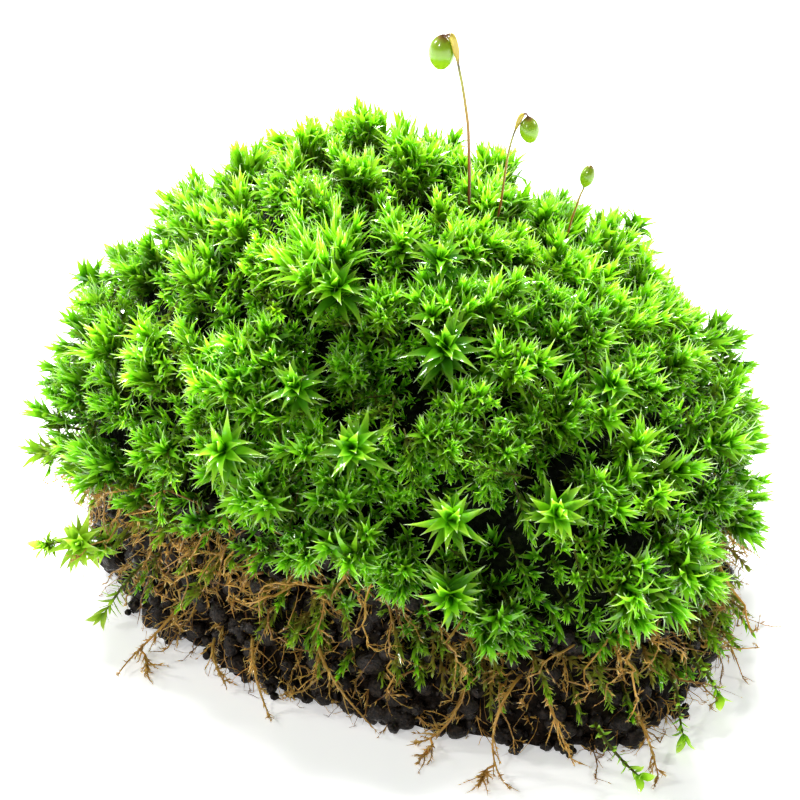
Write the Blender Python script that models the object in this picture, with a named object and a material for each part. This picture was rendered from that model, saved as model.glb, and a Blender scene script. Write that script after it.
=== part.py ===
"""A clump of moss on the crumbly soil that it was lifted with, cut off flat underneath.

Metres, +Z up. The origin lies on the flat cut, under the middle of the clump. +X is the way in
which the clump is longest, and its flatter side, where the soil shows, faces -Y and -X.
"""

import math
import random

import bmesh
import bpy
from mathutils import Vector
from mathutils.bvhtree import BVHTree

MM = 0.001
GAP = 0.3 * MM  # between pieces that touch
UP = Vector((0, 0, 1))

# Outlines seen from above: degrees round from +X, and mm from the origin.
MOSS_OUTLINE = (
    (0, 38.5), (21, 38.5), (42, 38.5), (68, 38.5), (94, 39.0), (119, 38.5), (146, 38.0), (168, 37.5),
    (186, 34.5), (205, 30.0), (225, 26.5), (248, 26.0), (272, 29.0), (290, 34.0), (304, 39.0),
    (320, 40.5), (340, 39.5),
)
SOIL_OUTLINE = (
    (0, 34.0), (25, 33.5), (51, 33.0), (81, 31.0), (111, 31.5), (141, 32.5), (165, 32.0), (180, 29.5),
    (202, 25.0), (225, 23.5), (247, 23.2), (262, 24.5), (276, 26.5), (291, 30.2), (301, 35.5), (309, 37.5),
    (318, 36.5), (337, 34.5),
)

# Seam between the soil and the moss: a plane that drops towards +X and rises towards +Y.
SEAM_HEIGHT = 12 * MM
SEAM_SLOPE_X = -0.08
SEAM_SLOPE_Y = 0.06

# Dome of the moss.
WIDEST_HEIGHT = 16 * MM  # where the dome is widest
CROWN_RISE = 33 * MM  # from there to its top
CROWN_SHIFT = Vector((-5.5 * MM, 5 * MM))  # the top's place, seen from above
CROWN_POWER = 1.66  # 2 would be an ellipse, and less is more pointed
RIM_LIFT = -12  # degrees below level, where the dome meets the seam
RIM_TUCK = 0.07  # of the outline, drawn in at the seam
SHOOT_LIFT = 0.2  # how far shoots grow more upwards than the dome faces, as a share

# Shoot tips that the dome is covered with.
TIP_COUNT = 700
RIM_TIPS = 56
TIP_RISE = (1.2 * MM, 3.4 * MM)
GROOVE_DEPTH = 1.7 * MM
TIP_SPACING = math.radians(5.4)  # the least, between two tips
RIM_FADE = 0.14  # share of the heart's height over the rim in which shoots grow to their full rise
RIM_RISE = 0.35  # share of their rise that shoots keep at the rim

# Seats pressed into the moss under the star-shaped shoots.
SEAT_MARGIN = 1.2 * MM
SEAT_DEPTH = 8 * MM
SEAT_FLAT = 0.5 * MM  # radius of its flat middle
SEAT_SLOPE = 0.2  # from SEAT_RIM outwards
SEAT_RIM = 1.5 * MM
SEAT_CLEARANCE = 0.05 * MM

# Tufts and hollows: degrees round, degrees up, rise in mm, reach in degrees.
TUFTS = (
    (226, 70, 3.2, 13), (235, 19, 2.6, 12), (209, 39, 2.0, 11), (196, 32, 2.0, 10), (173, 0, 2.8, 12),
    (308, 6, 2.6, 12), (319, 21, 1.6, 9), (21, 41, 2.2, 12), (103, 66, 1.6, 10), (80, 76, 2.2, 12),
    (341, 16, 2.0, 11), (2, 26, 1.6, 10), (188, 49, 1.6, 10), (325, 46, 1.6, 10), (319, 7, 2.0, 10),
    (207, 18, 1.4, 9), (220, 48, 1.6, 9), (140, 50, 2.0, 12), (115, 35, 2.4, 13), (90, 20, 1.8, 11),
    (60, 50, 2.2, 12), (45, 22, 2.4, 13), (70, 5, 2.0, 12), (115, 3, 2.2, 12), (145, 15, 2.4, 13),
    (20, 10, 2.0, 11), (165, 35, 1.6, 10), (272, 80, 1.4, 9),
)
HOLLOWS = (
    (272, 41, 2.4, 6), (285, 48, 2.0, 6), (305, 33, 2.4, 7), (314, 21, 2.2, 6), (257, 18, 2.2, 6),
    (278, 15, 2.2, 6), (216, 12, 2.0, 6), (292, 12, 2.2, 6), (247, 44, 1.8, 5), (75, 35, 2.4, 7),
    (30, 30, 2.2, 6), (130, 30, 2.2, 6), (100, 12, 2.2, 7), (350, 8, 2.0, 6),
)

# Star-shaped shoots: degrees round, degrees up, and the star's reach in mm.
STAR_SHOOTS = (
    (291, 47, 4.8), (265, 27, 4.6), (249, 35, 4.0), (262, 55, 4.4), (301, 63, 4.0), (299, 20, 4.6),
    (283, 18, 4.2), (280, 5, 4.0), (234, 21, 4.6), (319, 36, 3.8), (38, 26, 4.2), (110, 34, 4.2),
    (146, 14, 4.2), (75, 16, 4.2),
)
STAR_LEAVES = 7
STAR_STEM = 1.5 * MM
STAR_STEM_RADIUS = 0.65 * MM

# Spore stalks and capsules, hand-placed: x and z in mm along the stalk, in the plane of its y.
TALL_STALK = ((7.1, 46.6), (7.1, 50.0), (7.0, 53.2), (6.9, 55.5), (6.6, 57.9), (6.3, 59.9), (5.9, 62.0),
              (5.7, 63.4), (5.4, 64.8), (5.1, 65.5), (4.75, 65.5))
MIDDLE_STALK = ((10.1, 44.9), (10.4, 46.7), (10.7, 49.3), (11.0, 51.8), (11.4, 53.7), (11.9, 55.3),
                (12.3, 56.3), (12.75, 56.6))
SHORT_STALK = ((17.3, 41.9), (17.5, 42.6), (17.8, 44.0), (18.2, 45.3), (18.6, 46.7), (18.85, 47.3))
CAPSULES = {
    "tall": (Vector((4.35, 0.9, 65.3)), Vector((4.05, 1.7, 61.2)), 1.24),
    "middle": (Vector((13.0, 0.9, 56.3)), Vector((13.3, 0.9, 53.3)), 0.95),
    "short": (Vector((18.95, 2.2, 47.65)), Vector((19.6, 2.2, 50.2)), 0.75),
}
STALK_SIDES = 5
CAPSULE_SIDES = 8
CAPSULE_PROFILE = ((0.0, 0.16), (0.1, 0.5), (0.28, 0.86), (0.5, 1.0), (0.72, 0.86), (0.88, 0.5), (0.95, 0.3))

# Old brown stems, hand-placed where they hang out of the soil and lie along the ground, in mm.
BROWN_STEMS = {
    "01": ((-24.9, -12.9, 4.5), (-26.0, -13.6, 2.9), (-27.4, -14.2, 1.4), (-28.6, -15.4, 0.8),
           (-29.6, -18.0, 0.6)),
    "02": ((-20.4, -16.2, 4.2), (-19.6, -17.6, 2.6), (-18.9, -18.6, 1.3), (-18.0, -20.0, 0.8)),
    "03": ((-15.8, -20.5, 6.4), (-15.2, -21.8, 4.2), (-14.5, -22.6, 1.9), (-13.9, -23.6, 0.8),
           (-13.2, -26.0, 0.6)),
    "04": ((-9.4, -23.2, 9.0), (-8.2, -24.3, 7.4), (-6.8, -25.2, 5.2), (-5.4, -25.8, 3.2), (-3.8, -26.6, 1.4),
           (-2.3, -28.3, 0.7)),
    "05": ((6.2, -28.9, 5.6), (5.2, -29.6, 3.4), (3.9, -29.8, 1.7), (2.4, -29.9, 0.8), (0.8, -30.4, 0.6)),
    "06": ((11.0, -31.6, 9.0), (9.9, -32.6, 6.4), (9.2, -33.2, 3.4), (9.4, -33.9, 1.3), (10.1, -35.6, 0.7),
           (10.9, -38.0, 0.6)),
    "07": ((14.4, -33.4, 8.2), (15.6, -34.6, 6.0), (16.8, -35.2, 3.6), (17.4, -35.6, 2.0)),
    "08": ((24.0, -30.6, 5.0), (25.0, -32.6, 3.0), (25.6, -34.2, 1.4), (26.0, -36.0, 0.6)),
}
FORKS = {
    "01_fork": ((-26.9, -15.0, 1.2), (-26.7, -16.2, 0.7), (-26.5, -17.2, 0.6)),
    "05_fork": ((3.3, -30.7, 0.8), (2.7, -31.6, 0.6), (2.2, -32.6, 0.6)),
    "06_fork": ((8.8, -34.7, 0.8), (8.2, -35.8, 0.6), (7.9, -37.2, 0.6)),
}
STEM_RADII = (0.5 * MM, 0.16 * MM)
FORK_RADII = (0.3 * MM, 0.14 * MM)
STEM_SIDES = 5
STEM_HAIR = 1.1 * MM

# Leafy shoots that trail out of the moss's lower edge, hand-placed, in mm.
TRAILING_SHOOTS = {
    "trailing_shoot_left": ((-29.2, -6.2, 10.6), (-31.2, -7.4, 10.2), (-33.4, -8.2, 10.4),
                            (-35.6, -8.4, 11.4)),
    "trailing_shoot_low_left": ((-26.9, -9.6, 9.0), (-28.8, -10.8, 7.9), (-30.0, -11.6, 6.6),
                                (-30.8, -12.0, 5.2)),
    "trailing_shoot_right": ((28.8, -22.8, 7.2), (30.2, -23.9, 6.2), (31.3, -24.6, 5.3), (32.1, -25.0, 4.6)),
    "trailing_shoot_low_right": ((27.2, -25.4, 6.2), (28.1, -27.0, 4.8), (28.5, -28.2, 3.4),
                                 (28.6, -29.0, 2.4)),
    "trailing_shoot_front": ((19.8, -32.4, 4.6), (20.9, -34.6, 3.4), (21.9, -35.4, 2.6), (22.9, -35.6, 2.2)),
}
TRAILING_RADII = (0.45 * MM, 0.25 * MM)
TRAILING_LEAF = 2.3 * MM
GROUND_CLEARANCE = 0.1 * MM

# Crumbs of soil that lie against the clod: x and y of the middle in mm, and radius in mm.
CRUMBS = ((-24.6, -10.6, 0.9), (-13.6, -20.9, 0.85), (-9.9, -22.9, 0.8), (-0.6, -27.0, 0.8),
          (12.0, -31.8, 1.0), (19.8, -36.4, 0.9), (-29.6, -5.4, 0.85), (29.6, -25.6, 0.9))
CRUMB_DENTS = (0.82, 1.08)  # share of the radius that a crumb's corners lie at
CRUMB_STAND_OFF = 1.12  # of a crumb's middle from the clod, in radii
RAY_START = 60 * MM  # beyond every piece, seen from the origin

# Side of the soil clod.
SOIL_STEPS = 60
SOIL_LEVELS = 6
SOIL_ROUGHNESS = 1.1 * MM
SOIL_FLARE = 1.03  # of its outline, towards the top
SOIL_INSET = 3.2 * MM  # of its top, from the moss's edge
SOIL_BULGE = 0.9 * MM
SOIL_UNEVEN = 0.5 * MM  # of the levels' heights


def outline_radius(stops, azimuth):
    """Distance from the origin to an outline: a smooth closed curve through its stops."""
    turn = math.degrees(azimuth) % 360
    count = len(stops)
    following = next((i for i, (angle, _) in enumerate(stops) if angle > turn), count)
    around = range(following - 2, following + 2)
    angles = [stops[i % count][0] + 360 * (i // count) for i in around]
    reaches = [stops[i % count][1] * MM for i in around]
    step = angles[2] - angles[1]
    along = (turn - angles[1]) / step
    slope_before = (reaches[2] - reaches[0]) / (angles[2] - angles[0]) * step
    slope_after = (reaches[3] - reaches[1]) / (angles[3] - angles[1]) * step
    square, cube = along**2, along**3
    start = (2 * cube - 3 * square + 1) * reaches[1] + (cube - 2 * square + along) * slope_before
    end = (3 * square - 2 * cube) * reaches[2] + (cube - square) * slope_after
    return start + end


def seam_height(x, y):
    """Height of the plane on which the moss sits on the soil."""
    return SEAM_HEIGHT + SEAM_SLOPE_X * x + SEAM_SLOPE_Y * y


def heading(azimuth, lift):
    """Unit vector towards a place on the dome, given in degrees round and degrees up."""
    around, up = math.radians(azimuth), math.radians(lift)
    return Vector((math.cos(up) * math.cos(around), math.cos(up) * math.sin(around), math.sin(up)))


def dome_point(direction):
    """Place on the smooth dome: a rounded peak over the outline, tucked in down to the seam."""
    azimuth = math.atan2(direction.y, direction.x)
    level = math.hypot(direction.x, direction.y)
    above = max(direction.z, 0)
    size = (level**CROWN_POWER + above**CROWN_POWER) ** (-1 / CROWN_POWER)
    reach, rise = size * level, size * above
    below = min(max(-direction.z / math.sin(math.radians(-RIM_LIFT)), 0), 1)
    reach *= 1 - RIM_TUCK * below**2
    radius = outline_radius(MOSS_OUTLINE, azimuth) * reach
    x = radius * math.cos(azimuth) + CROWN_SHIFT.x * rise
    y = radius * math.sin(azimuth) + CROWN_SHIFT.y * rise
    z = WIDEST_HEIGHT + CROWN_RISE * rise
    if below:
        z += (seam_height(x, y) + GAP - z) * below
    return Vector((x, y, z))


def growing_way(direction):
    """Way in which shoots grow there: outwards, and a little more upwards than the dome faces."""
    return Vector((direction.x, direction.y, direction.z + SHOOT_LIFT)).normalized()


def tuft_rise(direction):
    """How far tufts lift the moss there, less how far hollows sink it."""
    rise = 0
    for azimuth, lift, height, reach in TUFTS:
        apart = math.degrees(direction.angle(heading(azimuth, lift)))
        rise = max(rise, height * MM * max(0, 1 - (apart / reach) ** 2))
    for azimuth, lift, depth, reach in HOLLOWS:
        apart = math.degrees(direction.angle(heading(azimuth, lift)))
        rise -= depth * MM * max(0, 1 - (apart / reach) ** 2)
    return rise


def star_seat(azimuth, lift):
    """Foot and growing way of a star shoot, on the moss between the shoot tips."""
    direction = heading(azimuth, lift)
    way = growing_way(direction)
    return dome_point(direction) + way * tuft_rise(direction), way


def stalk_root(x, y):
    """Direction on the dome of the place under a spore stalk's foot, found in small corrections."""
    direction = Vector((x, y, CROWN_RISE)).normalized()
    for _ in range(40):
        place = dome_point(direction)
        direction += Vector((x - place.x, y - place.y, 0)) / (2 * CROWN_RISE)
        direction.normalize()
    return direction


def shoot_directions(fixed, seed):
    """Directions of the shoot tips: the fixed ones, a ring at the rim, and a jittered spiral."""
    draw = random.Random(seed)
    low = math.sin(math.radians(RIM_LIFT))
    rim = [heading(360 * i / RIM_TIPS, RIM_LIFT) for i in range(RIM_TIPS)]
    chosen = list(fixed)
    golden = math.pi * (3 - math.sqrt(5))
    for i in range(TIP_COUNT):
        z = 1 - (1 - low) * (i + 0.5) / TIP_COUNT + draw.uniform(-0.012, 0.012)
        z = min(z, 1)
        turn = golden * i + draw.uniform(-0.03, 0.03) / max(math.sqrt(1 - z * z), 0.1)
        spot = Vector((math.sqrt(1 - z * z) * math.cos(turn), math.sqrt(1 - z * z) * math.sin(turn), z))
        clear_of_fixed = all(spot.angle(other) > TIP_SPACING for other in fixed)
        if clear_of_fixed and z > low + math.sin(TIP_SPACING) * 0.7:
            chosen.append(spot)
    return chosen, rim


def moss_cushion(fixed, flat_seats):
    """Cushion mesh: every shoot tip is a peak, and grooves run between the peaks."""
    draw = random.Random(7)
    inner, rim = shoot_directions(fixed, seed=3)
    mesh = bmesh.new()
    for direction in inner + rim:
        mesh.verts.new(direction)
    bmesh.ops.convex_hull(mesh, input=mesh.verts)
    rim_level = math.sin(math.radians(RIM_LIFT)) + 1e-4
    covered = [face for face in mesh.faces if any(v.co.z > rim_level for v in face.verts)]
    tips = set(mesh.verts)
    ridges = [edge for edge in mesh.edges
              if all(face in set(covered) for face in edge.link_faces)
              and not all(v.co.z < rim_level for v in edge.verts)]
    bmesh.ops.poke(mesh, faces=covered)
    bmesh.ops.rotate_edges(mesh, edges=ridges, use_ccw=False)
    for vert in mesh.verts:
        direction = vert.co.normalized()
        way = growing_way(direction)
        place = dome_point(direction)
        if vert in tips and vert.co.z < rim_level:
            vert.co = place
            continue
        fixed_tip = any((vert.co - spot).length < 1e-4 for spot in fixed)
        rise = tuft_rise(direction)
        if vert in tips and not fixed_tip:
            rise += draw.uniform(*TIP_RISE)
        elif vert not in tips:
            rise -= GROOVE_DEPTH * draw.uniform(0.6, 1.1)
        fade = min(1, max(0, (vert.co.z - rim_level) / RIM_FADE))
        place += way * rise * (RIM_RISE + (1 - RIM_RISE) * fade)
        vert.co = place
    for foot, way, reach in flat_seats:
        press_seat(mesh, foot, way, reach)
    for vert in mesh.verts:
        vert.co.z = max(vert.co.z, seam_height(vert.co.x, vert.co.y) + GAP)
    return mesh


def press_seat(mesh, foot, way, reach):
    """Press the moss down under a star shoot's leaves, so that the star stands clear of it."""
    for vert in mesh.verts:
        offset = vert.co - foot
        height = offset.dot(way)
        aside = (offset - way * height).length
        if aside < reach + SEAT_MARGIN and height > -SEAT_DEPTH:
            allowed = max(0, aside - SEAT_RIM) * SEAT_SLOPE - SEAT_CLEARANCE
            if aside < SEAT_FLAT:
                allowed = 0
            vert.co -= way * max(0, height - allowed)


def lofted(rings, start_cap=True, end_point=None):
    """Closed mesh through rings with equally many points, its ends capped or drawn to a point."""
    mesh = bmesh.new()
    rows = [[mesh.verts.new(point) for point in ring] for ring in rings]
    count = len(rows[0])
    for row, after in zip(rows, rows[1:]):
        for i in range(count):
            j = (i + 1) % count
            mesh.faces.new((row[i], row[j], after[j], after[i]))
    if start_cap:
        mesh.faces.new(list(reversed(rows[0])))
    if end_point is None:
        mesh.faces.new(rows[-1])
    else:
        tip = mesh.verts.new(end_point)
        for i in range(count):
            mesh.faces.new((rows[-1][i], rows[-1][(i + 1) % count], tip))
    bmesh.ops.triangulate(mesh, faces=mesh.faces)
    return mesh


def side_ways(way):
    """Two unit vectors at right angles to a way and to each other."""
    across = way.cross(UP if abs(way.z) < 0.9 else Vector((1, 0, 0))).normalized()
    return across, way.cross(across).normalized()


def star_shoot(foot, way, reach, spin):
    """Star shoot: a short stem, two tiers of pointed leaves and a pointed bud, in one body."""
    across, along = side_ways(way)
    points = 2 * STAR_LEAVES

    def ring(radii, heights):
        """Points round the stem, with the even and the odd ones at their own reach and height."""
        row = []
        for i in range(points):
            turn = spin + 2 * math.pi * i / points
            out = across * math.cos(turn) + along * math.sin(turn)
            row.append(foot + out * radii[i % 2] + way * (GAP + heights[i % 2]))
        return row

    rings = [
        ring((STAR_STEM_RADIUS,) * 2, (0, 0)),
        ring((STAR_STEM_RADIUS * 1.2,) * 2, (STAR_STEM, STAR_STEM)),
        ring((reach, reach * 0.3), (STAR_STEM + reach * 0.2, STAR_STEM + reach * 0.12)),
        ring((reach * 0.3, reach * 0.3), (STAR_STEM + reach * 0.34, STAR_STEM + reach * 0.34)),
        ring((reach * 0.26, reach * 0.7), (STAR_STEM + reach * 0.46, STAR_STEM + reach * 0.72)),
        ring((reach * 0.17, reach * 0.17), (STAR_STEM + reach * 0.6, STAR_STEM + reach * 0.6)),
    ]
    return lofted(rings, end_point=foot + way * (GAP + STAR_STEM + reach * 0.95))


def smooth_path(points, steps):
    """Points in metres on a smooth curve through hand-placed points given in mm."""
    places = [Vector(point) * MM for point in points]
    path = []
    for i in range(len(places) - 1):
        before = places[max(i - 1, 0)]
        after = places[min(i + 2, len(places) - 1)]
        start, end = places[i], places[i + 1]
        for k in range(steps):
            t = k / steps
            path.append(
                0.5 * (2 * start + (end - before) * t + (2 * before - 5 * start + 4 * end - after) * t**2
                       + (3 * start - before - 3 * end + after) * t**3)
            )
    path.append(places[-1])
    return path


def stem(path, radii, sides, hair=0.0, seed=0):
    """Tapered stem along a path; with hair, every ring has one point drawn out to a side twig."""
    draw = random.Random(seed)
    rings = []
    across = side_ways((path[1] - path[0]).normalized())[0]
    last = len(path) - 1
    for k, place in enumerate(path):
        way = (path[min(k + 1, last)] - path[max(k - 1, 0)]).normalized()
        across = (across - way * across.dot(way)).normalized()
        along = way.cross(across)
        radius = radii[0] + (radii[1] - radii[0]) * k / last
        row = []
        for i in range(sides):
            turn = 2 * math.pi * i / sides
            row.append(place + (across * math.cos(turn) + along * math.sin(turn)) * radius)
        if hair and 0 < k < last:
            i = (k * 2) % sides
            out = (row[i] - place).normalized()
            row[i] = row[i] + (out + way * 0.8) * hair * draw.uniform(0.6, 1.1)
        rings.append(row)
    tip = path[-1] + (path[-1] - path[-2]).normalized() * radii[1] * 2
    mesh = lofted(rings, end_point=tip)
    for vert in mesh.verts:
        vert.co.z = max(vert.co.z, GROUND_CLEARANCE)
    return mesh


def rooted(points, surface, radius):
    """Path whose first point stands just off the surface that a stem grows out of."""
    place, normal = surface.find_nearest(Vector(points[0]) * MM)[:2]
    start = place + normal * (GAP + radius * 0.7)
    return [tuple(start / MM), *points[1:]]


def capsule(neck, end, radius):
    """Spore capsule: an egg turned about its own axis, narrow at the neck and at its lid."""
    neck, end, radius = neck * MM, end * MM, radius * MM
    way = (end - neck).normalized()
    across, along = side_ways(way)
    rings = []
    for part, width in CAPSULE_PROFILE:
        centre = neck.lerp(end, part)
        row = []
        for i in range(CAPSULE_SIDES):
            turn = 2 * math.pi * i / CAPSULE_SIDES
            row.append(centre + (across * math.cos(turn) + along * math.sin(turn)) * radius * width)
        rings.append(row)
    return lofted(rings, end_point=end)


def soil_clod():
    """Clod with rough sides, a flat cut at z = 0 and a flat top just under the seam."""
    draw = random.Random(11)
    rings = []
    for level in range(SOIL_LEVELS + 1):
        part = level / SOIL_LEVELS
        row = []
        for i in range(SOIL_STEPS):
            azimuth = 2 * math.pi * (i + 0.5 * (level % 2)) / SOIL_STEPS
            bottom = outline_radius(SOIL_OUTLINE, azimuth)
            moss_edge = outline_radius(MOSS_OUTLINE, azimuth) * (1 - RIM_TUCK)
            top = min(bottom * SOIL_FLARE, moss_edge - SOIL_INSET)
            radius = bottom + (top - bottom) * part + SOIL_BULGE * math.sin(math.pi * part)
            if level < SOIL_LEVELS:
                radius += draw.uniform(-1, 1) * SOIL_ROUGHNESS
            x, y = radius * math.cos(azimuth), radius * math.sin(azimuth)
            z = seam_height(x, y) * part
            if 0 < level < SOIL_LEVELS:
                z += draw.uniform(-1, 1) * SOIL_UNEVEN
            row.append(Vector((x, y, z)))
        rings.append(row)
    return lofted(rings)


def crumb(x, y, radius, clod, seed):
    """Lump of soil that rests on the ground, just clear of the clod."""
    draw = random.Random(seed)
    centre = Vector((x, y, 0)) * MM
    outwards = centre.normalized()
    across = outwards.cross(UP)
    size = radius * MM
    reaches = []
    for side in (-1, -0.5, 0, 0.5, 1):
        for height in (0.15, 1.0, 1.8):
            aside = across * size * side + UP * size * height
            found = clod.ray_cast(outwards * RAY_START + aside, -outwards)[0]
            if found:
                reaches.append(found.dot(outwards))
    middle = outwards * (max(reaches) + size * CRUMB_STAND_OFF + GAP)
    mesh = bmesh.new()
    bmesh.ops.create_icosphere(mesh, subdivisions=2, radius=size)
    for vert in mesh.verts:
        vert.co *= draw.uniform(*CRUMB_DENTS)
    lowest = min(vert.co.z for vert in mesh.verts)
    for vert in mesh.verts:
        vert.co += Vector((middle.x, middle.y, -lowest))
    return mesh


def material(name, colour, roughness):
    """Principled material with one colour."""
    made = bpy.data.materials.new(name)
    made.use_nodes = True
    shader = made.node_tree.nodes["Principled BSDF"]
    shader.inputs["Base Color"].default_value = (*colour, 1)
    shader.inputs["Roughness"].default_value = roughness
    shader.inputs["Metallic"].default_value = 0
    return made


def add(name, mesh, colour, roughness):
    """Turn a finished mesh into a named object with its own material."""
    bmesh.ops.recalc_face_normals(mesh, faces=mesh.faces)
    data = bpy.data.meshes.new(name)
    mesh.to_mesh(data)
    mesh.free()
    thing = bpy.data.objects.new(name, data)
    data.materials.append(material(name, colour, roughness))
    bpy.context.scene.collection.objects.link(thing)
    return thing


def build():
    """Make every piece of the clump."""
    for thing in list(bpy.data.objects):
        bpy.data.objects.remove(thing)

    clod = soil_clod()
    clod_surface = BVHTree.FromBMesh(clod)

    seats = [star_seat(azimuth, lift) for azimuth, lift, _ in STAR_SHOOTS]
    flat_seats = [(foot, way, shoot[2] * MM) for (foot, way), shoot in zip(seats, STAR_SHOOTS)]
    stalks = {
        "tall": (TALL_STALK, 0.4, (0.26 * MM, 0.17 * MM)),
        "middle": (MIDDLE_STALK, 0.9, (0.2 * MM, 0.14 * MM)),
        "short": (SHORT_STALK, 2.2, (0.15 * MM, 0.11 * MM)),
    }
    roots = [stalk_root(points[0][0] * MM, y * MM) for points, y, _ in stalks.values()]
    fixed = [heading(azimuth, lift) for azimuth, lift, _ in STAR_SHOOTS] + roots
    cushion = moss_cushion(fixed, flat_seats)
    moss_surface = BVHTree.FromBMesh(cushion)

    add("soil_clod", clod, (0.022, 0.013, 0.008), 0.95)
    add("moss_cushion", cushion, (0.1, 0.28, 0.012), 0.7)

    for index, (foot, way, reach) in enumerate(flat_seats, 1):
        shoot = star_shoot(foot, way, reach, spin=index * 0.9)
        add(f"star_shoot_{index:02d}", shoot, (0.09, 0.33, 0.012), 0.5)

    for name, (points, y, radii) in stalks.items():
        line = [(x, y, z) for x, z in points]
        top = moss_surface.ray_cast(Vector((line[0][0], y, 90)) * MM, -UP)[0]
        line[0] = (line[0][0], y, (top.z + GAP * 1.4) / MM)
        line = [line[0]] + [point for point in line[1:] if point[2] > line[0][2] + 0.8]
        add(f"spore_stalk_{name}", stem(smooth_path(line, 2), radii, STALK_SIDES), (0.2, 0.05, 0.012), 0.4)
        add(f"spore_capsule_{name}", capsule(*CAPSULES[name]), (0.2, 0.42, 0.02), 0.3)

    for seed, (name, points) in enumerate(BROWN_STEMS.items()):
        path = smooth_path(rooted(points, clod_surface, STEM_RADII[0]), 2)
        branch = stem(path, STEM_RADII, STEM_SIDES, STEM_HAIR, seed)
        add(f"brown_stem_{name}", branch, (0.22, 0.1, 0.03), 0.8)
    for seed, (name, points) in enumerate(FORKS.items(), 20):
        branch = stem(smooth_path(points, 3), FORK_RADII, STEM_SIDES, STEM_HAIR * 0.7, seed)
        add(f"brown_stem_{name}", branch, (0.22, 0.1, 0.03), 0.8)
    for seed, (name, points) in enumerate(TRAILING_SHOOTS.items(), 30):
        path = smooth_path(rooted(points, clod_surface, TRAILING_RADII[0]), 3)
        branch = stem(path, TRAILING_RADII, STEM_SIDES, TRAILING_LEAF, seed)
        add(name, branch, (0.14, 0.34, 0.03), 0.5)
    for seed, (x, y, radius) in enumerate(CRUMBS, 40):
        lump = crumb(x, y, radius, clod_surface, seed)
        add(f"soil_crumb_{seed - 39}", lump, (0.02, 0.012, 0.008), 0.95)


build()
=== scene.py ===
"""The looks of a moss clump: its soil, its brown stems, every leafy shoot of the cushion and its spore stalks.

Metres, +Z up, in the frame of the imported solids. The flatter side, where the soil shows, faces -Y.
"""
import math

import bpy
import numpy as np
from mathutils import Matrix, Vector


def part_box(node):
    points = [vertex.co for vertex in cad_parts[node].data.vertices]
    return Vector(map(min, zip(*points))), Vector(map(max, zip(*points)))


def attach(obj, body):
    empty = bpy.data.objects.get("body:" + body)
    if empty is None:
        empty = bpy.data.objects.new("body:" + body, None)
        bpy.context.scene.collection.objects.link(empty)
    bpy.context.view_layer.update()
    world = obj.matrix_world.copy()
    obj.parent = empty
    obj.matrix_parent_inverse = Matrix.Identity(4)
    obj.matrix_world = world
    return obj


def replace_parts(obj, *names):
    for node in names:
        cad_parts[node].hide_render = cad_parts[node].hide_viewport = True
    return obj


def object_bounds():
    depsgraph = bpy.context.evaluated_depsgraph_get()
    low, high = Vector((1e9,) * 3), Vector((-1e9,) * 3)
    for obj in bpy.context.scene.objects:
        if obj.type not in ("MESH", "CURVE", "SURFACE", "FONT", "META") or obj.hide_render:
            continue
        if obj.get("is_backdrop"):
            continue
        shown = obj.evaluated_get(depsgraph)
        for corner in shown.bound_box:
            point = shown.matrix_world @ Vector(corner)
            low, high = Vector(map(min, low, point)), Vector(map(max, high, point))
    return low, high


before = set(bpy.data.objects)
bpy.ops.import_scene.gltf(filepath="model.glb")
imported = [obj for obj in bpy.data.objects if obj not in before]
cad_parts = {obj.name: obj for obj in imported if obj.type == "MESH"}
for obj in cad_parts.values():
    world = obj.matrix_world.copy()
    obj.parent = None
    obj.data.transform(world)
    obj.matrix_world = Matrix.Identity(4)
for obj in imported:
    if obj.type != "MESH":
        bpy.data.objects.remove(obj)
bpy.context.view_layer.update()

MM = 0.001

# Soil clod: the lump of black, crumbly humus that the moss grew on, bound by fine roots.
# It is one piece, wet and glossy in specks, and it is cut off flat underneath.
SEAM_HEIGHT = 12 * MM  # of the plane between soil and moss, above the middle of the cut
SEAM_SLOPE = (-0.08, 0.06)  # towards +X and towards +Y
CLOD_ROWS, CLOD_STEPS = 40, 300
CLOD_LUMP = 0.9 * MM  # how far the crumbly side swells and sinks


def unit(vectors):
    """Each vector divided by its own length."""
    return vectors / np.maximum(np.linalg.norm(vectors, axis=-1, keepdims=True), 1e-9)


def points_of(node):
    """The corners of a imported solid, each once."""
    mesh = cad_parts[node].data
    corners = np.empty(len(mesh.vertices) * 3, dtype=np.float32)
    mesh.vertices.foreach_get("co", corners)
    return np.unique(corners.reshape(-1, 3).astype(float).round(6), axis=0)


def ripple(points, wave, seed, count=9):
    """Smooth noise of about -1 to 1: the sum of sine waves in random directions, each about one wave long."""
    dice = np.random.default_rng(seed)
    ways = unit(dice.normal(size=(count, 3)))
    lengths = wave * dice.uniform(0.7, 1.5, count)
    phases = dice.uniform(0, 2 * math.pi, count)
    turns = 2 * math.pi * (points @ ways.T) / lengths + phases
    return np.sin(turns).sum(-1) * 0.7 / math.sqrt(count)


def seam(points):
    """Height of the seam over or under each point: a plane."""
    return SEAM_HEIGHT + points[..., 0] * SEAM_SLOPE[0] + points[..., 1] * SEAM_SLOPE[1]


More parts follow.
